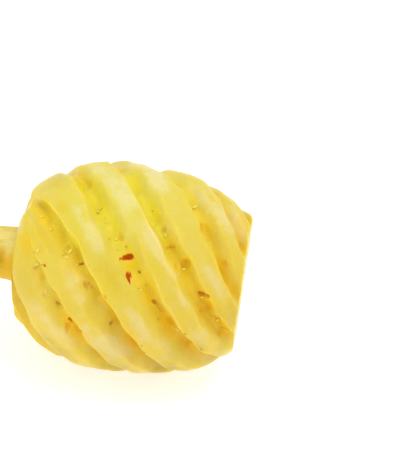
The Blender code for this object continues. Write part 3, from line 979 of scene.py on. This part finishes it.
# Deeper in colour away from the top: partly the flesh's own tone, partly painted light on the top.
away_from_lit_top = np.linalg.norm(flesh - flesh[at_pixel(*LIT_TOP_AT)], axis=-1)
away_from_lit_top = np.clip((away_from_lit_top - LIT_TOP_REACH[0]) / (LIT_TOP_REACH[1] - LIT_TOP_REACH[0]), 0, 1) + LIT_TOP_UNEVEN * chance
print("tint from", round(float(tint.min()), 2), "to", round(float(tint.max()), 2))

# %% Gold and painted shade in the furrows
GLOW_SIZE, GLOW_CHANCE, GLOW_SHARE = (0.0058, 0.0075), 0.4, 0.35
GOLD_REACH, GOLD_START, GOLD_DEEP, GOLD_RAGGED, GOLD_MOST = 0.42, 0.35, 0.40, 0.10, 1.2
# Each stretch with painted shade, a golden-brown line along its floor: its furrow, how far along
# the side, its reach, and how brown it is.
CREASE_SHADES = [(1, 0.34, 0.09, 0.30), (2, 0.20, 0.22, 0.15), (2, 0.60, 0.25, 0.05), (3, 0.85, 0.16, 0.50)]
CREASE_WIDTH, CREASE_RAGGED = 0.022, 0.4

middle = np.round(COLUMN)
glow = eye_hollow(COLUMN, ALONG, *GLOW_SIZE) * (1 + GLOW_CHANCE * chance)
# Gold follows the furrow's cut and depth: partly the flesh's own colour, partly painted shade.
gold = 0.5 * CUT + 0.5 * (1 - step(0, GOLD_REACH, np.abs(COLUMN - middle)))
gold = gold * (GOLD_START + GOLD_DEEP * furrow_fill(COLUMN, ALONG)) + GLOW_SHARE * glow
gold = gold + in_places(GOLD_AND_SHADE_SPOTS)
gold = np.clip(gold + GOLD_RAGGED * ragged * CUT, 0, GOLD_MOST) * OFF_CROWN
# Painted shade along the floors of the creases.
crease_shade = at_stretches(CREASE_SHADES, middle, ALONG) * np.exp(-(((COLUMN - middle) / CREASE_WIDTH) ** 2))
amber = np.maximum(amber, crease_shade * ON_SIDE * (1 + CREASE_RAGGED * ragged))
print("gold up to", round(float(gold.max()), 2), "and amber up to", round(float(amber.max()), 2))

# %% [markdown]
# ## Nodes with less typing
#
# A material is a tree of nodes. These helpers add one node at a time: its options are keywords, and
# each input is either a plain value or another node's output, which is then linked.


# %% Node helpers
BUMP_STRENGTH, BUMP_DISTANCE = 0.25, 0.0002


def put(tree, kind, inputs=None, **options):
    """Adds a node to a tree, sets its options and fills its inputs with values or links."""
    made = tree.nodes.new(kind)
    for key, value in options.items():
        setattr(made, key, value)
    for key, value in (inputs or {}).items():
        if isinstance(value, bpy.types.NodeSocket):
            tree.links.new(value, made.inputs[key])
        else:
            made.inputs[key].default_value = value
    return made


def calc(tree, operation, *values):
    """The output of a Math node of these values or outputs."""
    return put(tree, "ShaderNodeMath", dict(enumerate(values)), operation=operation).outputs[0]


def blend(tree, share, low, high, how="MIX"):
    """The output of a Mix node for colours: low where share is 0 and high where it is 1."""
    low, high = (end if isinstance(end, bpy.types.NodeSocket) else (*end, 1) for end in (low, high))
    mixed = put(tree, "ShaderNodeMix", {0: share, 6: low, 7: high}, data_type="RGBA", blend_type=how)
    return mixed.outputs[2]


def layered(tree, colour, layers):
    """A colour with others laid over it one after another, each as share and colour."""
    for share, layer in layers:
        colour = blend(tree, share, colour, layer)
    return colour


def spread(tree, value, low, high):
    """A value stretched so that low becomes 0 and high becomes 1, with a smooth step between."""
    limits = {0: value, 1: low, 2: high}
    return put(tree, "ShaderNodeMapRange", limits, interpolation_type="SMOOTHSTEP").outputs[0]


def attribute(tree, name, output="Fac"):
    """The output of a node that reads one of the mesh's own attributes."""
    return put(tree, "ShaderNodeAttribute", attribute_name=name).outputs[output]


def new_group(name, inputs, outputs):
    """An empty node group with named sockets: inputs as name and default, outputs as names."""
    tree = bpy.data.node_groups.new(name, "ShaderNodeTree")
    for key, value in inputs.items():
        kind = "NodeSocketVector" if isinstance(value, tuple) else "NodeSocketFloat"
        tree.interface.new_socket(key, in_out="INPUT", socket_type=kind).default_value = value
    for key in outputs:
        tree.interface.new_socket(key, in_out="OUTPUT", socket_type="NodeSocketFloat")
    return tree, tree.nodes.new("NodeGroupInput").outputs, tree.nodes.new("NodeGroupOutput").inputs


def placed(tree, group, values):
    """The outputs of a node group that is placed in a tree with its own values."""
    return put(tree, "ShaderNodeGroup", values, node_tree=group).outputs


def bumped(tree, height):
    """The output of a Bump node that makes slight relief of a height."""
    return put(tree, "ShaderNodeBump", {
        "Height": height, "Strength": BUMP_STRENGTH, "Distance": BUMP_DISTANCE}).outputs[0]


def link_shader(tree, links):
    """Links outputs to the sockets of the material's own shader, by name."""
    for key, output in links.items():
        tree.links.new(output, tree.nodes["Principled BSDF"].inputs[key])


print("materials so far:", [material.name for material in bpy.data.materials])


# %% [markdown]
# ## Effects that more than one material shares
#
# Fruit flesh and stalk both show soft patches and fine speckles, and both are made of fibres. Each
# of these effects is a node group, built once and placed in each material with its own values.

# %% Group: patches and speckles
mottle, given, result = new_group(
    "mottling", {"Position": (0.0, 0.0, 0.0), "Patch Scale": 110.0, "Speckle Scale": 900.0},
    ("Patches", "Speckles", "Cells"))
for name, scale, detail, roughness in (("Patches", "Patch Scale", 3.0, 0.55),
                                       ("Speckles", "Speckle Scale", 2.0, 0.6)):
    noise = put(mottle, "ShaderNodeTexNoise", {
        "Vector": given["Position"], "Scale": given[scale], "Detail": detail, "Roughness": roughness})
    mottle.links.new(noise.outputs["Fac"], result[name])
cells = put(mottle, "ShaderNodeTexVoronoi", {
    "Vector": given["Position"], "Scale": given["Speckle Scale"], "Randomness": 1.0})
mottle.links.new(cells.outputs["Distance"], result["Cells"])
print(mottle.name, "has", len(mottle.nodes), "nodes")

# %% Group: fibres
fibres, given, result = new_group(
    "fibres", {"Grain": (0.0, 0.0, 0.0), "Fineness": 900.0, "Stretch": 0.1},
    ("Strands", "Threads"))
squeeze = put(fibres, "ShaderNodeCombineXYZ", {"X": 1.0, "Y": 1.0, "Z": given["Stretch"]})
stretched = put(fibres, "ShaderNodeVectorMath",
                {0: given["Grain"], 1: squeeze.outputs[0]}, operation="MULTIPLY")
for name, share, detail in (("Strands", 1.0, 2.0), ("Threads", 3.1, 1.0)):
    scale = calc(fibres, "MULTIPLY", given["Fineness"], share)
    noise = put(fibres, "ShaderNodeTexNoise",
                {"Vector": stretched.outputs[0], "Scale": scale, "Detail": detail, "Roughness": 0.5})
    fibres.links.new(noise.outputs["Fac"], result[name])
print("node groups:", [group.name for group in bpy.data.node_groups])

# %% [markdown]
# ## The flesh
#
# Ripe flesh is see-through for a few millimetres, so light goes in, wanders and comes out yellow.
# Subsurface scattering does that; without it the fruit looks like painted plaster. The tops of the
# ridges are pale cream, partly painted sheen. The furrows are golden, partly because there the knife
# went deeper into ripe flesh and partly as painted shade, because light bounces between their
# walls. The colour nodes only need the masks made above.

# %% Colours of the flesh
# The first row holds the paler colours near the top, partly painted light there, the second those
# further from it.
LIT_TOP_CREAM, LIT_TOP_LEMON, LIT_TOP_HONEY = (0.72, 0.65, 0.24), (0.69, 0.59, 0.085), (0.69, 0.55, 0.048)
AWAY_CREAM, AWAY_LEMON, AWAY_HONEY = (0.71, 0.565, 0.19), (0.69, 0.515, 0.064), (0.69, 0.50, 0.038)
# The golds deepen away from the top, and in the furrows they are partly painted shade.
SHARP_GOLD, AWAY_GOLD, DEEP_GOLD = (0.76, 0.64, 0.034), (0.77, 0.56, 0.026), (0.75, 0.475, 0.018)
# The first of these, the orange of pockets and creases, is partly painted shade.
AMBER, LINING, LINING_DARK = (0.80, 0.38, 0.007), (0.70, 0.13, 0.001), (0.50, 0.065, 0.001)
CORE_CREAM, CUT_YELLOW, CUT_PALE = (0.80, 0.72, 0.36), (0.77, 0.57, 0.09), (0.80, 0.69, 0.22)
FLESH_SCATTER, FLESH_SCATTER_DEPTH = (1.0, 0.80, 0.30), 0.0022
# Where each blend starts and is complete, on the value that drives it.
TO_LEMON, TO_CREAM, TO_AWAY_GOLD, TO_DEEP_GOLD = (-0.8, 0.0), (0.05, 0.9), (0.05, 0.50), (0.55, 1.00)
TO_GOLD, TO_LINING, TO_CUT_PALE, TO_RED_LINING = (0.20, 1.00), (0.05, 0.85), (0.38, 0.62), (0.35, 0.65)

flesh_finish = plain_material("wet pineapple flesh", LIT_TOP_LEMON, 0.34, {
    "Subsurface Weight": 0.9, "Subsurface Radius": FLESH_SCATTER,
    "Subsurface Scale": FLESH_SCATTER_DEPTH, "IOR": 1.36, "Specular IOR Level": 0.2})
tree = flesh_finish.node_tree
position = put(tree, "ShaderNodeTexCoord").outputs["Object"]
grain = attribute(tree, "grain", "Vector")
mottling = placed(tree, mottle, {"Position": position, "Patch Scale": 150.0, "Speckle Scale": 850.0})
strands = placed(tree, fibres, {"Grain": grain, "Fineness": 620.0, "Stretch": 0.10})
print("light scatters for about", mm(FLESH_SCATTER_DEPTH), "mm in the flesh")

# %% The ridges' and the furrows' colours
PALE_WANDER, GOLD_WANDER = 0.9, 0.5

wander = calc(tree, "SUBTRACT", mottling["Patches"], 0.5)
pale_share = calc(tree, "ADD", attribute(tree, "tint"), calc(tree, "MULTIPLY", wander, PALE_WANDER))
gold_share = calc(tree, "ADD", attribute(tree, "gold"), calc(tree, "MULTIPLY", wander, GOLD_WANDER))
# Away from the top the colours deepen; near it they are paler, partly as painted light.
lit_top_distance = attribute(tree, "away_from_lit_top")
honey, lemon, cream = (blend(tree, lit_top_distance, top_colour, away_colour) for top_colour, away_colour in (
    (LIT_TOP_HONEY, AWAY_HONEY), (LIT_TOP_LEMON, AWAY_LEMON), (LIT_TOP_CREAM, AWAY_CREAM)))
colour = blend(tree, spread(tree, pale_share, *TO_LEMON), honey, lemon)
gold_colour = layered(tree, SHARP_GOLD, (
    (spread(tree, lit_top_distance, *TO_AWAY_GOLD), AWAY_GOLD),
    (spread(tree, lit_top_distance, *TO_DEEP_GOLD), DEEP_GOLD)))
# Over it go cream, partly painted sheen on the ridges' tops; gold, partly painted shade in the furrows;
# and amber, partly painted shade in pockets and creases.
colour = layered(tree, colour, (
    (spread(tree, pale_share, *TO_CREAM), cream),
    (spread(tree, gold_share, *TO_GOLD), gold_colour),
    (attribute(tree, "amber"), AMBER)))
print("the flesh's colour takes", len(tree.nodes), "nodes so far")

# %% The crown's cut, the speckles and the pits
SPECKLE_SHARE, SPECKLE_START = 0.12, 0.94

cut_colour = blend(tree, spread(tree, strands["Strands"], *TO_CUT_PALE), CUT_YELLOW, CUT_PALE)
cut_colour = blend(tree, attribute(tree, "core"), cut_colour, CORE_CREAM)
colour = blend(tree, attribute(tree, "crown"), colour, cut_colour)
speckle = calc(tree, "MULTIPLY_ADD", mottling["Speckles"], SPECKLE_SHARE, SPECKLE_START)
# The painted light and shade of the listed places lighten or darken the colour here.
speckle = calc(tree, "ADD", speckle, attribute(tree, "painted_light_and_shade"))
shade = put(tree, "ShaderNodeCombineColor", {0: speckle, 1: speckle, 2: speckle}).outputs[0]
colour = blend(tree, 1.0, colour, shade, "MULTIPLY")
lining = blend(tree, spread(tree, mottling["Speckles"], *TO_RED_LINING), LINING_DARK, LINING)
colour = blend(tree, spread(tree, attribute(tree, "pit"), *TO_LINING), colour, lining)
print("and", len(tree.nodes), "with the crown's cut, the speckles and the pits")

# %% The flesh's wetness, and the flesh piece
WETNESS_SHARE, WETNESS_START, CELL_HEIGHT, THREAD_HEIGHT = 0.30, 0.20, 0.5, 0.8

wetness = calc(tree, "MULTIPLY_ADD", mottling["Patches"], WETNESS_SHARE, WETNESS_START)
height = calc(tree, "ADD", calc(tree, "MULTIPLY", mottling["Cells"], CELL_HEIGHT), mottling["Speckles"])
height = calc(tree, "ADD", height, calc(tree, "MULTIPLY", strands["Threads"], THREAD_HEIGHT))
link_shader(tree, {"Base Color": colour, "Roughness": wetness, "Normal": bumped(tree, height)})

flesh_piece = globe_piece("flesh_surface", flesh, flesh_finish, {
    "grain": GRAIN, "gold": gold, "tint": tint, "away_from_lit_top": away_from_lit_top, "pit": pit * ON_SIDE,
    "amber": amber * ON_SIDE, "painted_light_and_shade": painted_light_and_shade, "crown": on_crown, "core": core * on_crown})
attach(flesh_piece, "root")
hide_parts("flesh")

# %% [markdown]
# ## The stalk
#
# The stalk is the lower end of the stem that runs up through the fruit. It is pared too, with long
# strokes that leave flat sides, and threads of fibre run along it. Strips of greenish skin are left
# between the strokes. Its lower side is painted more golden than the rest, as painted shade. Near
# its root one side has a brown streak. The same grid and the same groups serve, with other values.

# %% Sizes of the stalk, as in the CAD source
STALK_LENGTH = 0.0550
STALK_RADIUS, STALK_TIP_RADIUS = 0.0117, 0.0106
STALK_FLARE, STALK_FLARE_REACH = 0.0012, 0.0050
STALK_DROP, STALK_BEND = 0.0016, 0.0022
STALK_FACETS, STALK_FACET_DEPTH = 6, 0.0007
STALK_CUT_LEAN, STALK_CUT_ROUNDING = 0.10, 0.0010
# Only this one differs: the root goes into the flesh here, where the solids leave a narrow gap.
STALK_SINK = 0.0015


def stalk_outline():
    """Half section of the stalk from the middle of its root face to the middle of its cut end."""
    part = np.linspace(0, 1, SECTION_STEPS)
    root, tip = SEAT_X + STALK_SINK, SEAT_X - STALK_LENGTH
    side = STALK_RADIUS + (STALK_TIP_RADIUS - STALK_RADIUS) * part
    side = side + STALK_FLARE * np.exp(-part * STALK_LENGTH / STALK_FLARE_REACH)
    x = [np.full_like(part, root), root + (tip - root) * part, np.full_like(part, tip)]
    radius = [side[0] * part, side, side[-1] * (1 - part)]
    line = rounded(np.concatenate(x), np.concatenate(radius), STALK_CUT_ROUNDING)
    return line, side[0], line[0][-1] - side[-1]


STALK_LINE, ROOT_RIM, CUT_RIM = stalk_outline()
print("stalk outline", mm(STALK_LINE[0][-1]), "mm long")


# %% The stalk's surface
STALK_TWIST, FLATS_START = 2, 4


def stalk_form(turn, run):
    """Points of the stalk at a turn round it, from 0 to 1, and a run along its outline.

    The knife left it with flat sides. It bows down and forward a little, and its cut end leans.
    """
    length, line_x, line_radius = STALK_LINE
    x = np.interp(run, length, line_x)
    radius = np.interp(run, length, line_radius)
    beyond = (line_x[0] - x) / STALK_LENGTH
    angle = turn * 2 * math.pi
    flats = np.abs(np.sin(STALK_FACETS / 2 * angle + STALK_TWIST * beyond))
    flats = STALK_FACET_DEPTH / STALK_RADIUS * flats * np.clip(FLATS_START * beyond, 0, 1)
    radius = radius * (1 - flats)
    drop = STALK_DROP + STALK_BEND * beyond**2
    y = -radius * np.cos(angle) - drop * math.sin(CROWDED_SIDE)
    z = radius * np.sin(angle) - drop * math.cos(CROWDED_SIDE)
    x = x + STALK_CUT_LEAN * beyond * radius * np.sin(angle)
    return np.stack([x + BELLY_X, y, z + AXIS_HEIGHT], axis=-1)


print("the stalk's end lies", mm(STALK_DROP + STALK_BEND), "mm off the fruit's axis")

# %% The stalk's grid and relief
STALK_COLUMNS, STALK_ROWS = 240, (6, 190, 34)  # rows over the root's face, the side and the cut face
CUT_EDGE = (CUT_RIM - 0.0004, CUT_RIM + 0.0006)
FIBRE_HEIGHT, FIBRE_SQUEEZE, FIBRE_LUMPS, DOT_LUMPS = 0.00016, 0.06, 0.0011, 0.0009
STALK_WAVER, STALK_LUMPS = 0.00022, 0.006

turns = np.arange(STALK_COLUMNS) / STALK_COLUMNS
stalk_runs = spaced((0, ROOT_RIM, CUT_RIM, STALK_LINE[0][-1]), STALK_ROWS)
STALK_RUN, TURN = np.meshgrid(stalk_runs, turns, indexing="ij")
stalk = stalk_form(TURN, STALK_RUN)
stalk_normals = outward(stalk)
angle = TURN * 2 * math.pi
STALK_GRAIN = grain_space(angle, STALK_RADIUS, STALK_RUN)
on_cut = step(*CUT_EDGE, STALK_RUN)
threads = streaks(STALK_GRAIN, FIBRE_SQUEEZE, FIBRE_LUMPS, 51)
dots = lumps(stalk, DOT_LUMPS, 52)
stalk_relief = FIBRE_HEIGHT * (1 + threads) * (1 - on_cut) + FIBRE_HEIGHT * (1 + dots) * on_cut
stalk_relief = stalk_relief + STALK_WAVER * (1 + lumps(stalk, STALK_LUMPS, 53)) * (1 - on_cut)
stalk = stalk - stalk_normals * stalk_relief[..., None]
print("stalk grid", stalk.shape[0], "rows by", stalk.shape[1], "columns")

# %% Skin, painted shade on the lower side, and a brown streak
SKIN_EDGE, SKIN_START = (0.94, 1.14), (0.002, 0.010)
SKIN_UNEVEN, SKIN_LUMPS, SKIN_THREADS = 0.16, 0.007, 0.07
# Painted shade on the stalk's lower front side: the angle it centres on, where it fades on the cosine
# from there, its unevenness and the size of its lumps.
SHADE_SIDE_ANGLE, SHADE_SIDE_EDGE, SHADE_SIDE_UNEVEN, SHADE_SIDE_LUMPS = math.radians(-30), (0.25, 0.80), 0.15, 0.004
# A brown streak near the root: the angle it centres on, its width, how much the threads break it, and
# where along the stalk from the root it starts and ends, in metres.
ROOT_STREAK_SIDE, ROOT_STREAK_WIDTH, ROOT_STREAK_THREADS = math.radians(17), math.radians(20), 0.3
ROOT_STREAK_START, ROOT_STREAK_END = (0.0045, 0.0075), (0.018, 0.032)

from_root = STALK_RUN - ROOT_RIM
edges = np.abs(np.cos(STALK_FACETS / 2 * angle + STALK_TWIST * from_root / STALK_LENGTH))
skin = edges + SKIN_UNEVEN * lumps(stalk, SKIN_LUMPS, 54) + SKIN_THREADS * threads
skin = step(*SKIN_EDGE, skin) * (1 - on_cut)
skin = skin * step(ROOT_RIM + SKIN_START[0], ROOT_RIM + SKIN_START[1], STALK_RUN)
# Painted shade: the lower side is made more golden.
shaded_side = np.cos(angle - SHADE_SIDE_ANGLE) + SHADE_SIDE_UNEVEN * lumps(stalk, SHADE_SIDE_LUMPS, 55)
shaded_side = step(*SHADE_SIDE_EDGE, shaded_side) * (1 - on_cut)
# The brown streak near the root, on one side.
near_root_streak = (angle + math.pi) % (2 * math.pi) - math.pi - ROOT_STREAK_SIDE
root_streak = np.exp(-((near_root_streak / ROOT_STREAK_WIDTH) ** 2)) * (1 + ROOT_STREAK_THREADS * threads)
root_streak = root_streak * step(*ROOT_STREAK_START, from_root) * (1 - step(*ROOT_STREAK_END, from_root))
print("skin on", round(float((skin > 0.5).mean()) * 100, 1), "% of the stalk")

# %% Stalk material
STALK_PALE, STALK_TAN, STALK_BROWN = (0.75, 0.64, 0.185), (0.73, 0.54, 0.095), (0.66, 0.42, 0.04)
# The first of these is the brown of the streak near the root.
STALK_ROOT_STREAK, STALK_SCATTER = (0.52, 0.32, 0.004), (1.0, 0.6, 0.15)
# The last of these is painted shade, the gold of the stalk's lower side.
SKIN_GREEN, STALK_END, STALK_SHADE_GOLD = (0.52, 0.41, 0.065), (0.80, 0.68, 0.28), (0.70, 0.43, 0.010)
TO_PALE, TO_BROWN, TO_END = (0.38, 0.60), (0.45, 0.70), (0.15, 0.5)
STREAK_SHARE, SKIN_SHARE, THREAD_SHARE, DRYNESS_SHARE, DRYNESS_START = 0.4, 0.70, 0.6, 0.3, 0.32

stalk_finish = plain_material("pared stalk", STALK_TAN, 0.45, {
    "Subsurface Weight": 0.45, "Subsurface Radius": STALK_SCATTER, "Subsurface Scale": 0.0012,
    "IOR": 1.40, "Specular IOR Level": 0.2})
tree = stalk_finish.node_tree
position = put(tree, "ShaderNodeTexCoord").outputs["Object"]
grain = attribute(tree, "grain", "Vector")
mottling = placed(tree, mottle, {"Position": position, "Patch Scale": 120.0, "Speckle Scale": 1100.0})
strands = placed(tree, fibres, {"Grain": grain, "Fineness": 1300.0, "Stretch": 0.05})

colour = blend(tree, spread(tree, mottling["Patches"], *TO_PALE), STALK_TAN, STALK_PALE)
# Over the tan go painted shade on the lower side, brown fibres, the brown streak near the root, the cut
# end and the skin.
colour = layered(tree, colour, (
    (attribute(tree, "shaded_side"), STALK_SHADE_GOLD),
    (calc(tree, "MULTIPLY", spread(tree, strands["Strands"], *TO_BROWN), STREAK_SHARE), STALK_BROWN),
    (attribute(tree, "root_streak"), STALK_ROOT_STREAK),
    (attribute(tree, "cut_end"),
     blend(tree, spread(tree, mottling["Cells"], *TO_END), STALK_TAN, STALK_END)),
    (calc(tree, "MULTIPLY", attribute(tree, "skin"), SKIN_SHARE), SKIN_GREEN)))
dryness = calc(tree, "MULTIPLY_ADD", strands["Threads"], DRYNESS_SHARE, DRYNESS_START)
height = calc(tree, "ADD", strands["Strands"], calc(tree, "MULTIPLY", strands["Threads"], THREAD_SHARE))
link_shader(tree, {"Base Color": colour, "Roughness": dryness, "Normal": bumped(tree, height)})
print("the stalk's finish takes", len(tree.nodes), "nodes")

# %% The stalk piece
stalk_piece = globe_piece("stalk_surface", stalk, stalk_finish, {
    "grain": STALK_GRAIN, "skin": skin, "shaded_side": shaded_side, "root_streak": root_streak, "cut_end": on_cut})
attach(stalk_piece, "root")
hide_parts("stalk")

# %% [markdown]
# ## Seeds and shreds in the furrows
#
# Where the knife took an eye out, it left specks of dark seed skin and small tags of torn flesh. Each
# is a tiny closed blob of a few dozen faces. All blobs of a kind are worked out together: one round
# blob is stretched, bent and turned by arrays of sizes and directions, and becomes one joined mesh.

# %% Many small blobs as one mesh
BLOB_ROWS, BLOB_COLUMNS, BLOB_UNEVEN = 5, 8, 0.22


def joined_blobs(name, finish, places, frames, sizes, bend, values):
    """One mesh of closed blobs: places, frames of three directions and half sizes, each an array.

    A point of the round blob is the sine and cosine of its latitude and turn, times the half sizes
    and a random unevenness. The bend lifts it by the square of its distance along the blob.
    """
    latitude = np.linspace(-math.pi / 2, math.pi / 2, BLOB_ROWS)[:, None]
    turn = np.arange(BLOB_COLUMNS) * 2 * math.pi / BLOB_COLUMNS
    ball = with_poles(np.stack([np.cos(latitude) * np.cos(turn), np.cos(latitude) * np.sin(turn),
                                np.sin(latitude) * np.ones(BLOB_COLUMNS)], axis=-1))
    noise = np.random.default_rng(len(places)).uniform(-1, 1, (len(places), len(ball), 1))
    local = ball * (1 + BLOB_UNEVEN * noise) * sizes[:, None]
    local[..., 2] += bend * local[..., 0] ** 2
    points = places[:, None] + local @ frames
    first = (np.arange(len(places)) * len(ball))[:, None, None]
    triangles, quads = (first + corners for corners in globe_faces(BLOB_ROWS, BLOB_COLUMNS))
    values = {key: np.repeat(value, len(ball))[:, None] for key, value in values.items()}
    return make_piece(name, points.reshape(-1, 3), triangles.reshape(-1, 3), quads.reshape(-1, 4),
                      finish, values)


print("each blob has", sum(len(faces) for faces in globe_faces(BLOB_ROWS, BLOB_COLUMNS)), "faces")

# %% Specks and shreds that the photograph shows
# Each row: x and y in the photograph, length in mm, turn in degrees and darkness.
SPECKS = [
    (97.3, 213.1, 1.1, -40, 0.3), (105.8, 217.0, 0.7, 0, 0.2), (106.0, 222.0, 0.7, 0, 0.2),
    (125.7, 246.2, 1.0, 60, 0.35), (109.5, 238.0, 1.2, -20, 0.2), (118.2, 249.8, 0.8, 0, 0.2),
    (139.2, 271.4, 1.6, -35, 0.75), (139.8, 288.7, 0.8, 30, 0.2), (146.5, 285.4, 0.9, 20, 0.25),
    (145.8, 291.5, 0.7, 60, 0.2), (159.3, 319.7, 0.9, 50, 0.6), (180.0, 331.0, 0.9, 0, 0.4),
    (185.1, 335.2, 1.2, -40, 0.5), (201.5, 349.8, 1.1, -60, 0.7), (151.5, 210.8, 0.9, 0, 0.2),
    (200.6, 311.0, 0.9, 60, 0.6), (214.5, 316.5, 1.2, -20, 0.5), (221.8, 328.4, 0.9, 30, 0.3),
    (80.6, 331.9, 1.1, -50, 0.6), (140.8, 346.8, 0.9, -60, 0.8), (34.2, 252.5, 0.9, -20, 0.4),
    (91.3, 286.6, 0.8, 0, 0.3), (105.3, 297.4, 0.8, 30, 0.4), (59.4, 303.6, 1.0, -20, 0.3),
    (65.5, 253.5, 0.9, 0, 0.3), (181.8, 276.8, 0.7, 0, 0.2), (145.0, 353.0, 0.7, -40, 0.4),
]
# Each row: x and y in the photograph, length in mm and turn in degrees.
SHREDS = [
    (41.9, 217.2, 1.6, 20), (51.2, 229.5, 1.6, 60), (69.9, 251.4, 2.4, 50),
    (66.4, 257.8, 1.6, -10), (37.4, 250.4, 1.8, 50), (37.0, 264.6, 1.6, 10),
    (32.0, 255.0, 1.2, 0), (45.6, 291.0, 1.3, 70), (100.4, 208.2, 1.9, 40),
    (115.7, 239.6, 1.6, -30), (141.2, 288.5, 1.5, 30), (165.7, 235.6, 2.0, 60),
    (194.6, 207.7, 2.4, 25), (184.6, 269.4, 1.9, 20), (202.4, 297.4, 1.9, 20),
    (217.8, 319.6, 2.2, 75), (177.2, 329.4, 1.6, -20), (77.6, 263.4, 1.4, 20),
    (90.0, 291.0, 1.2, 0),
]
at_pixel = pixel_finder(flesh)
normals = outward(flesh)
print(len(SPECKS), "specks and", len(SHREDS), "shreds have a place in the photograph")

# %% Strewing specks and shreds
STREWN_ROWS, STREWN_COLUMNS, STREWN_LENGTHS, STREWN_DARKS = (-9, 8), (-6, 7), (0.4, 1.0), (0.1, 0.8)
# At each hidden eye at most so many, and so long in mm.
HIDDEN_SPECKS, HIDDEN_SHREDS = (3, 1.3), (1, 2.2)


def strewn(rows_of_marks, most_each, longest):
    """Places, frames, half lengths and darkness of small things: those of the photograph, and some at
    each hidden eye."""
    spots = [(*at_pixel(x, y), *others) for x, y, *others in rows_of_marks]
    for eye in hidden_eyes:
        for _ in range(int(draw.integers(0, most_each + 1))):
            place = beside_eye(*eye, draw.integers(*STREWN_ROWS), draw.integers(*STREWN_COLUMNS))
            length, turn = draw.uniform(*STREWN_LENGTHS) * longest, draw.uniform(0, 360)
            spots.append((*place, length, turn, draw.uniform(*STREWN_DARKS)))
    places = np.array([flesh[row, column] for row, column, *_ in spots])
    frames = np.array([photo_frame(row, column, turn) for row, column, _, turn, _ in spots])
    length, dark = np.array([(length, dark) for *_, length, _, dark in spots]).T
    return places, frames, length[:, None] / HALF_MMS, dark


print("specks and shreds are strewn at", len(hidden_eyes), "eyes that the photograph does not show")

# %% The specks and the shreds
SPECK_LIGHT, SPECK_DARK, SHRED_YELLOW = (0.62, 0.46, 0.020), (0.30, 0.17, 0.004), (0.88, 0.70, 0.14)
# Their half sizes: lengthwise, across and out of the surface, as shares of half the length.
SPECK_SHAPE, SHRED_SHAPE, SHRED_BEND = (1, 0.62, 0.40), (1, 0.42, 0.42), 250.0

speck_finish = plain_material("seed skin", SPECK_LIGHT, 0.6, {"Specular IOR Level": 0.2})
tree = speck_finish.node_tree
colour = blend(tree, attribute(tree, "darkness"), SPECK_LIGHT, SPECK_DARK)
link_shader(tree, {"Base Color": colour})
places, frames, half, dark = strewn(SPECKS, *HIDDEN_SPECKS)
specks = joined_blobs("eye_specks", speck_finish, places, frames, half * SPECK_SHAPE, 0,
                      {"darkness": dark})

shred_finish = plain_material("torn flesh", SHRED_YELLOW, 0.25, {
    "Subsurface Weight": 0.9, "Subsurface Radius": FLESH_SCATTER, "Subsurface Scale": 0.001})
places, frames, half, _ = strewn([(*row, 0) for row in SHREDS], *HIDDEN_SHREDS)
places = places + frames[:, 2] * half * SHRED_SHAPE[2]
shreds = joined_blobs("eye_shreds", shred_finish, places, frames, half * SHRED_SHAPE, SHRED_BEND, {})
for piece in (specks, shreds):
    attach(piece, "root")
